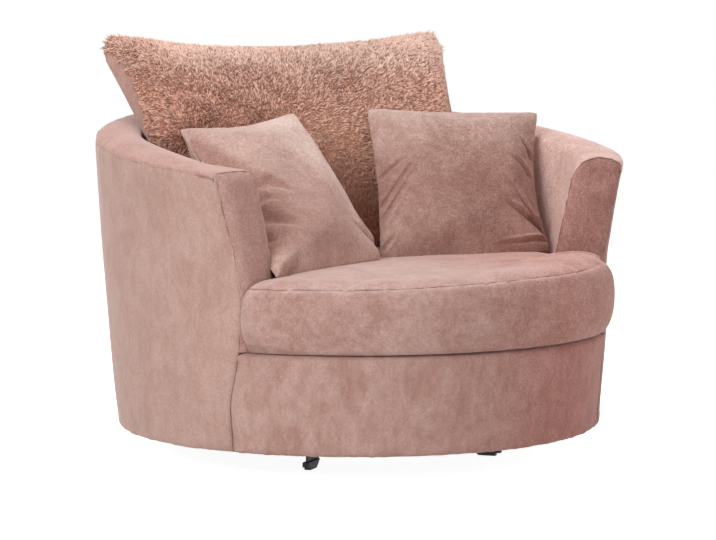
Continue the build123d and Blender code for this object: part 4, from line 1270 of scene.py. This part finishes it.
def painted_shade_left(s, t):
    # Painted light and shade: pale toward the upper right, darker below the middle, and a painted
    # shadow in the hollow beside the arm
    shade_by_arm = hump(np.maximum(s + 0.66 - 0.48 * t, 0), 0, 0.22)
    shade_by_arm = shade_by_arm * ease(-t, -0.15, 0.1) * (1 - ease(-t, 0.62, 0.85))
    pale_from = 0.20 + 0.55 * ease(-t, -0.5, 0.4)
    shade_by_height = np.interp(t, [-0.9, -0.6, -0.3, 0.1, 0.5, 0.9], [0.55, 0.85, 0.85, 0.70, 0.55, 0.50])
    return shade_by_height * (1 - ease(s, pale_from - 0.45, pale_from + 0.25)) + 0.6 * shade_by_arm


# Each fold: start, end, width, depth and sometimes the height of its ridge, on a square from -1 to 1
right_corners = [on_seat(0.008, -0.110), on_seat(0.466, -0.082, 0.009), (0.498, 0.040, 0.777),
                 (0.098, 0.150, 0.789)]
right_folds = [
    ((0.99, -0.82), (0.40, 0.02), 0.032, 0.013),
    ((0.94, -0.70), (0.36, -0.36), 0.045, 0.016),
    ((0.88, 0.00), (0.48, 0.26), 0.045, 0.007),
    ((0.94, 0.28), (0.66, 0.60), 0.035, 0.010),
    ((1.00, -0.85), (0.14, -0.89), 0.026, 0.009, 1.0),
    ((-1.00, -0.40), (-0.55, 0.26), 0.032, 0.013),
    ((-0.98, 0.02), (-0.60, 0.28), 0.030, 0.009),
    ((-1.00, -0.56), (-0.66, -0.02), 0.045, 0.010),
    ((-0.98, 0.60), (-0.82, 0.84), 0.030, 0.006),
    ((-1.00, -0.90), (-0.80, -0.68), 0.035, 0.008),
]
right_draw = {"left": 0.035, "right": 0.12, "top": 0.03, "foot": -0.01}
lean_cushion("right", right_corners, 101, HALF_THICK, right_folds, right_draw, painted_shade_right)
left_corners = [on_seat(-0.356, -0.335), on_seat(-0.018, -0.155, 0.007), (-0.120, 0.105, 0.784),
                (-0.446, 0.000, 0.755)]
left_folds = [
    ((-1.08, 0.76), (-0.40, -0.42), 0.14, 0.022, 0.5),
    ((-0.68, 0.02), (-0.14, -0.18), 0.085, 0.016, 0.3),
    ((-0.78, -0.18), (-0.46, -0.25), 0.045, 0.011, 0.5),
    ((-0.86, -0.36), (-0.30, -0.58), 0.085, 0.019, 0.4),
    ((-0.93, -0.58), (-0.72, -0.66), 0.045, 0.011, 0.4),
    ((-0.98, -0.92), (-0.50, -0.80), 0.09, -0.012),
    ((0.97, -0.86), (0.52, -0.55), 0.05, 0.010),
    ((0.99, -0.72), (0.70, -0.52), 0.035, 0.007),
]
left_draw = {"left": 0.03, "right": -0.01, "top": 0.085, "foot": 0.0}
lean_cushion("left", left_corners, 102, HALF_THICK, left_folds, left_draw, painted_shade_left)

# %% [markdown]
# ## Steel, plastic and timber
#
# The hidden parts show under the hem and whenever a cushion is lifted. Black powder coat has a fine
# orange-peel bump, zinc plate is a cloudy metal, the glides are moulded plastic and the frame is
# birch plywood with long grain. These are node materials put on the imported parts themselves.

# %% Hard finishes
def speckled(name, dark, pale, scale, rough, bump_depth, metallic=0.0):
    f = Finish(name)
    wear = f.noise(24.0, 5.0)
    f.shader.inputs["Metallic"].default_value = metallic
    tone = f.mix(f.spread(wear, 0.3, 0.75), dark, pale)
    return f.done(tone, f.between(wear, *rough), f.bump(f.noise(scale, 3.0), 0.4, bump_depth))


def plywood(name):
    f = Finish(name)
    grain = f.add("ShaderNodeMapping", f.place, Scale=(1.0, 14.0, 14.0)).outputs[0]
    figure = f.noise(9.0, 6.0, grain, Distortion=0.8)
    pores = f.noise(90.0, 2.0, grain)
    plies = f.spread(f.stripes("Z", 110.0, 0.4), 0.75, 1.0)
    tone = f.mix(plies, f.mix(figure, (0.42, 0.27, 0.15), (0.70, 0.52, 0.34)), (0.36, 0.22, 0.12))
    return f.done(tone, f.between(pores, 0.5, 0.75), f.bump(pores, 0.3, 0.0006))


powder_coat = speckled("black_powder_coat", (0.012, 0.012, 0.013), (0.03, 0.03, 0.032), 1400.0,
                       (0.42, 0.62), 0.0004)
zinc_plate = speckled("zinc_plate", (0.42, 0.43, 0.44), (0.62, 0.63, 0.64), 300.0, (0.28, 0.5), 0.0002, 1.0)
moulded = speckled("moulded_black", (0.014, 0.014, 0.015), (0.035, 0.034, 0.034), 900.0,
                   (0.45, 0.7), 0.0003)
birch = plywood("birch_plywood")
elastic = woven("elastic_webbing", (0.02, 0.02, 0.022), (0.16, 0.15, 0.14), 180.0)
hard_nodes = [
    (powder_coat, ["cross_bar_a", "cross_bar_b"]),
    (moulded, ["floor_glides", "ball_cage"]),
    (zinc_plate, ["lower_plate", "pivot_stud", "pivot_washer", "pivot_nut", "bearing_balls", "upper_plate",
                  "plate_screws"]),
    (birch, ["base_board", "wall_ribs", "front_ribs", "arm_posts", "top_rail", "seat_ring", "plinth_board"]),
    (elastic, ["webbing_long", "webbing_cross"]),
]
for finish, names in hard_nodes:
    for name in names:
        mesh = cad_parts[name].data
        mesh.materials.clear()
        mesh.materials.append(finish)
print("hard parts finished", sum(len(names) for finish, names in hard_nodes))
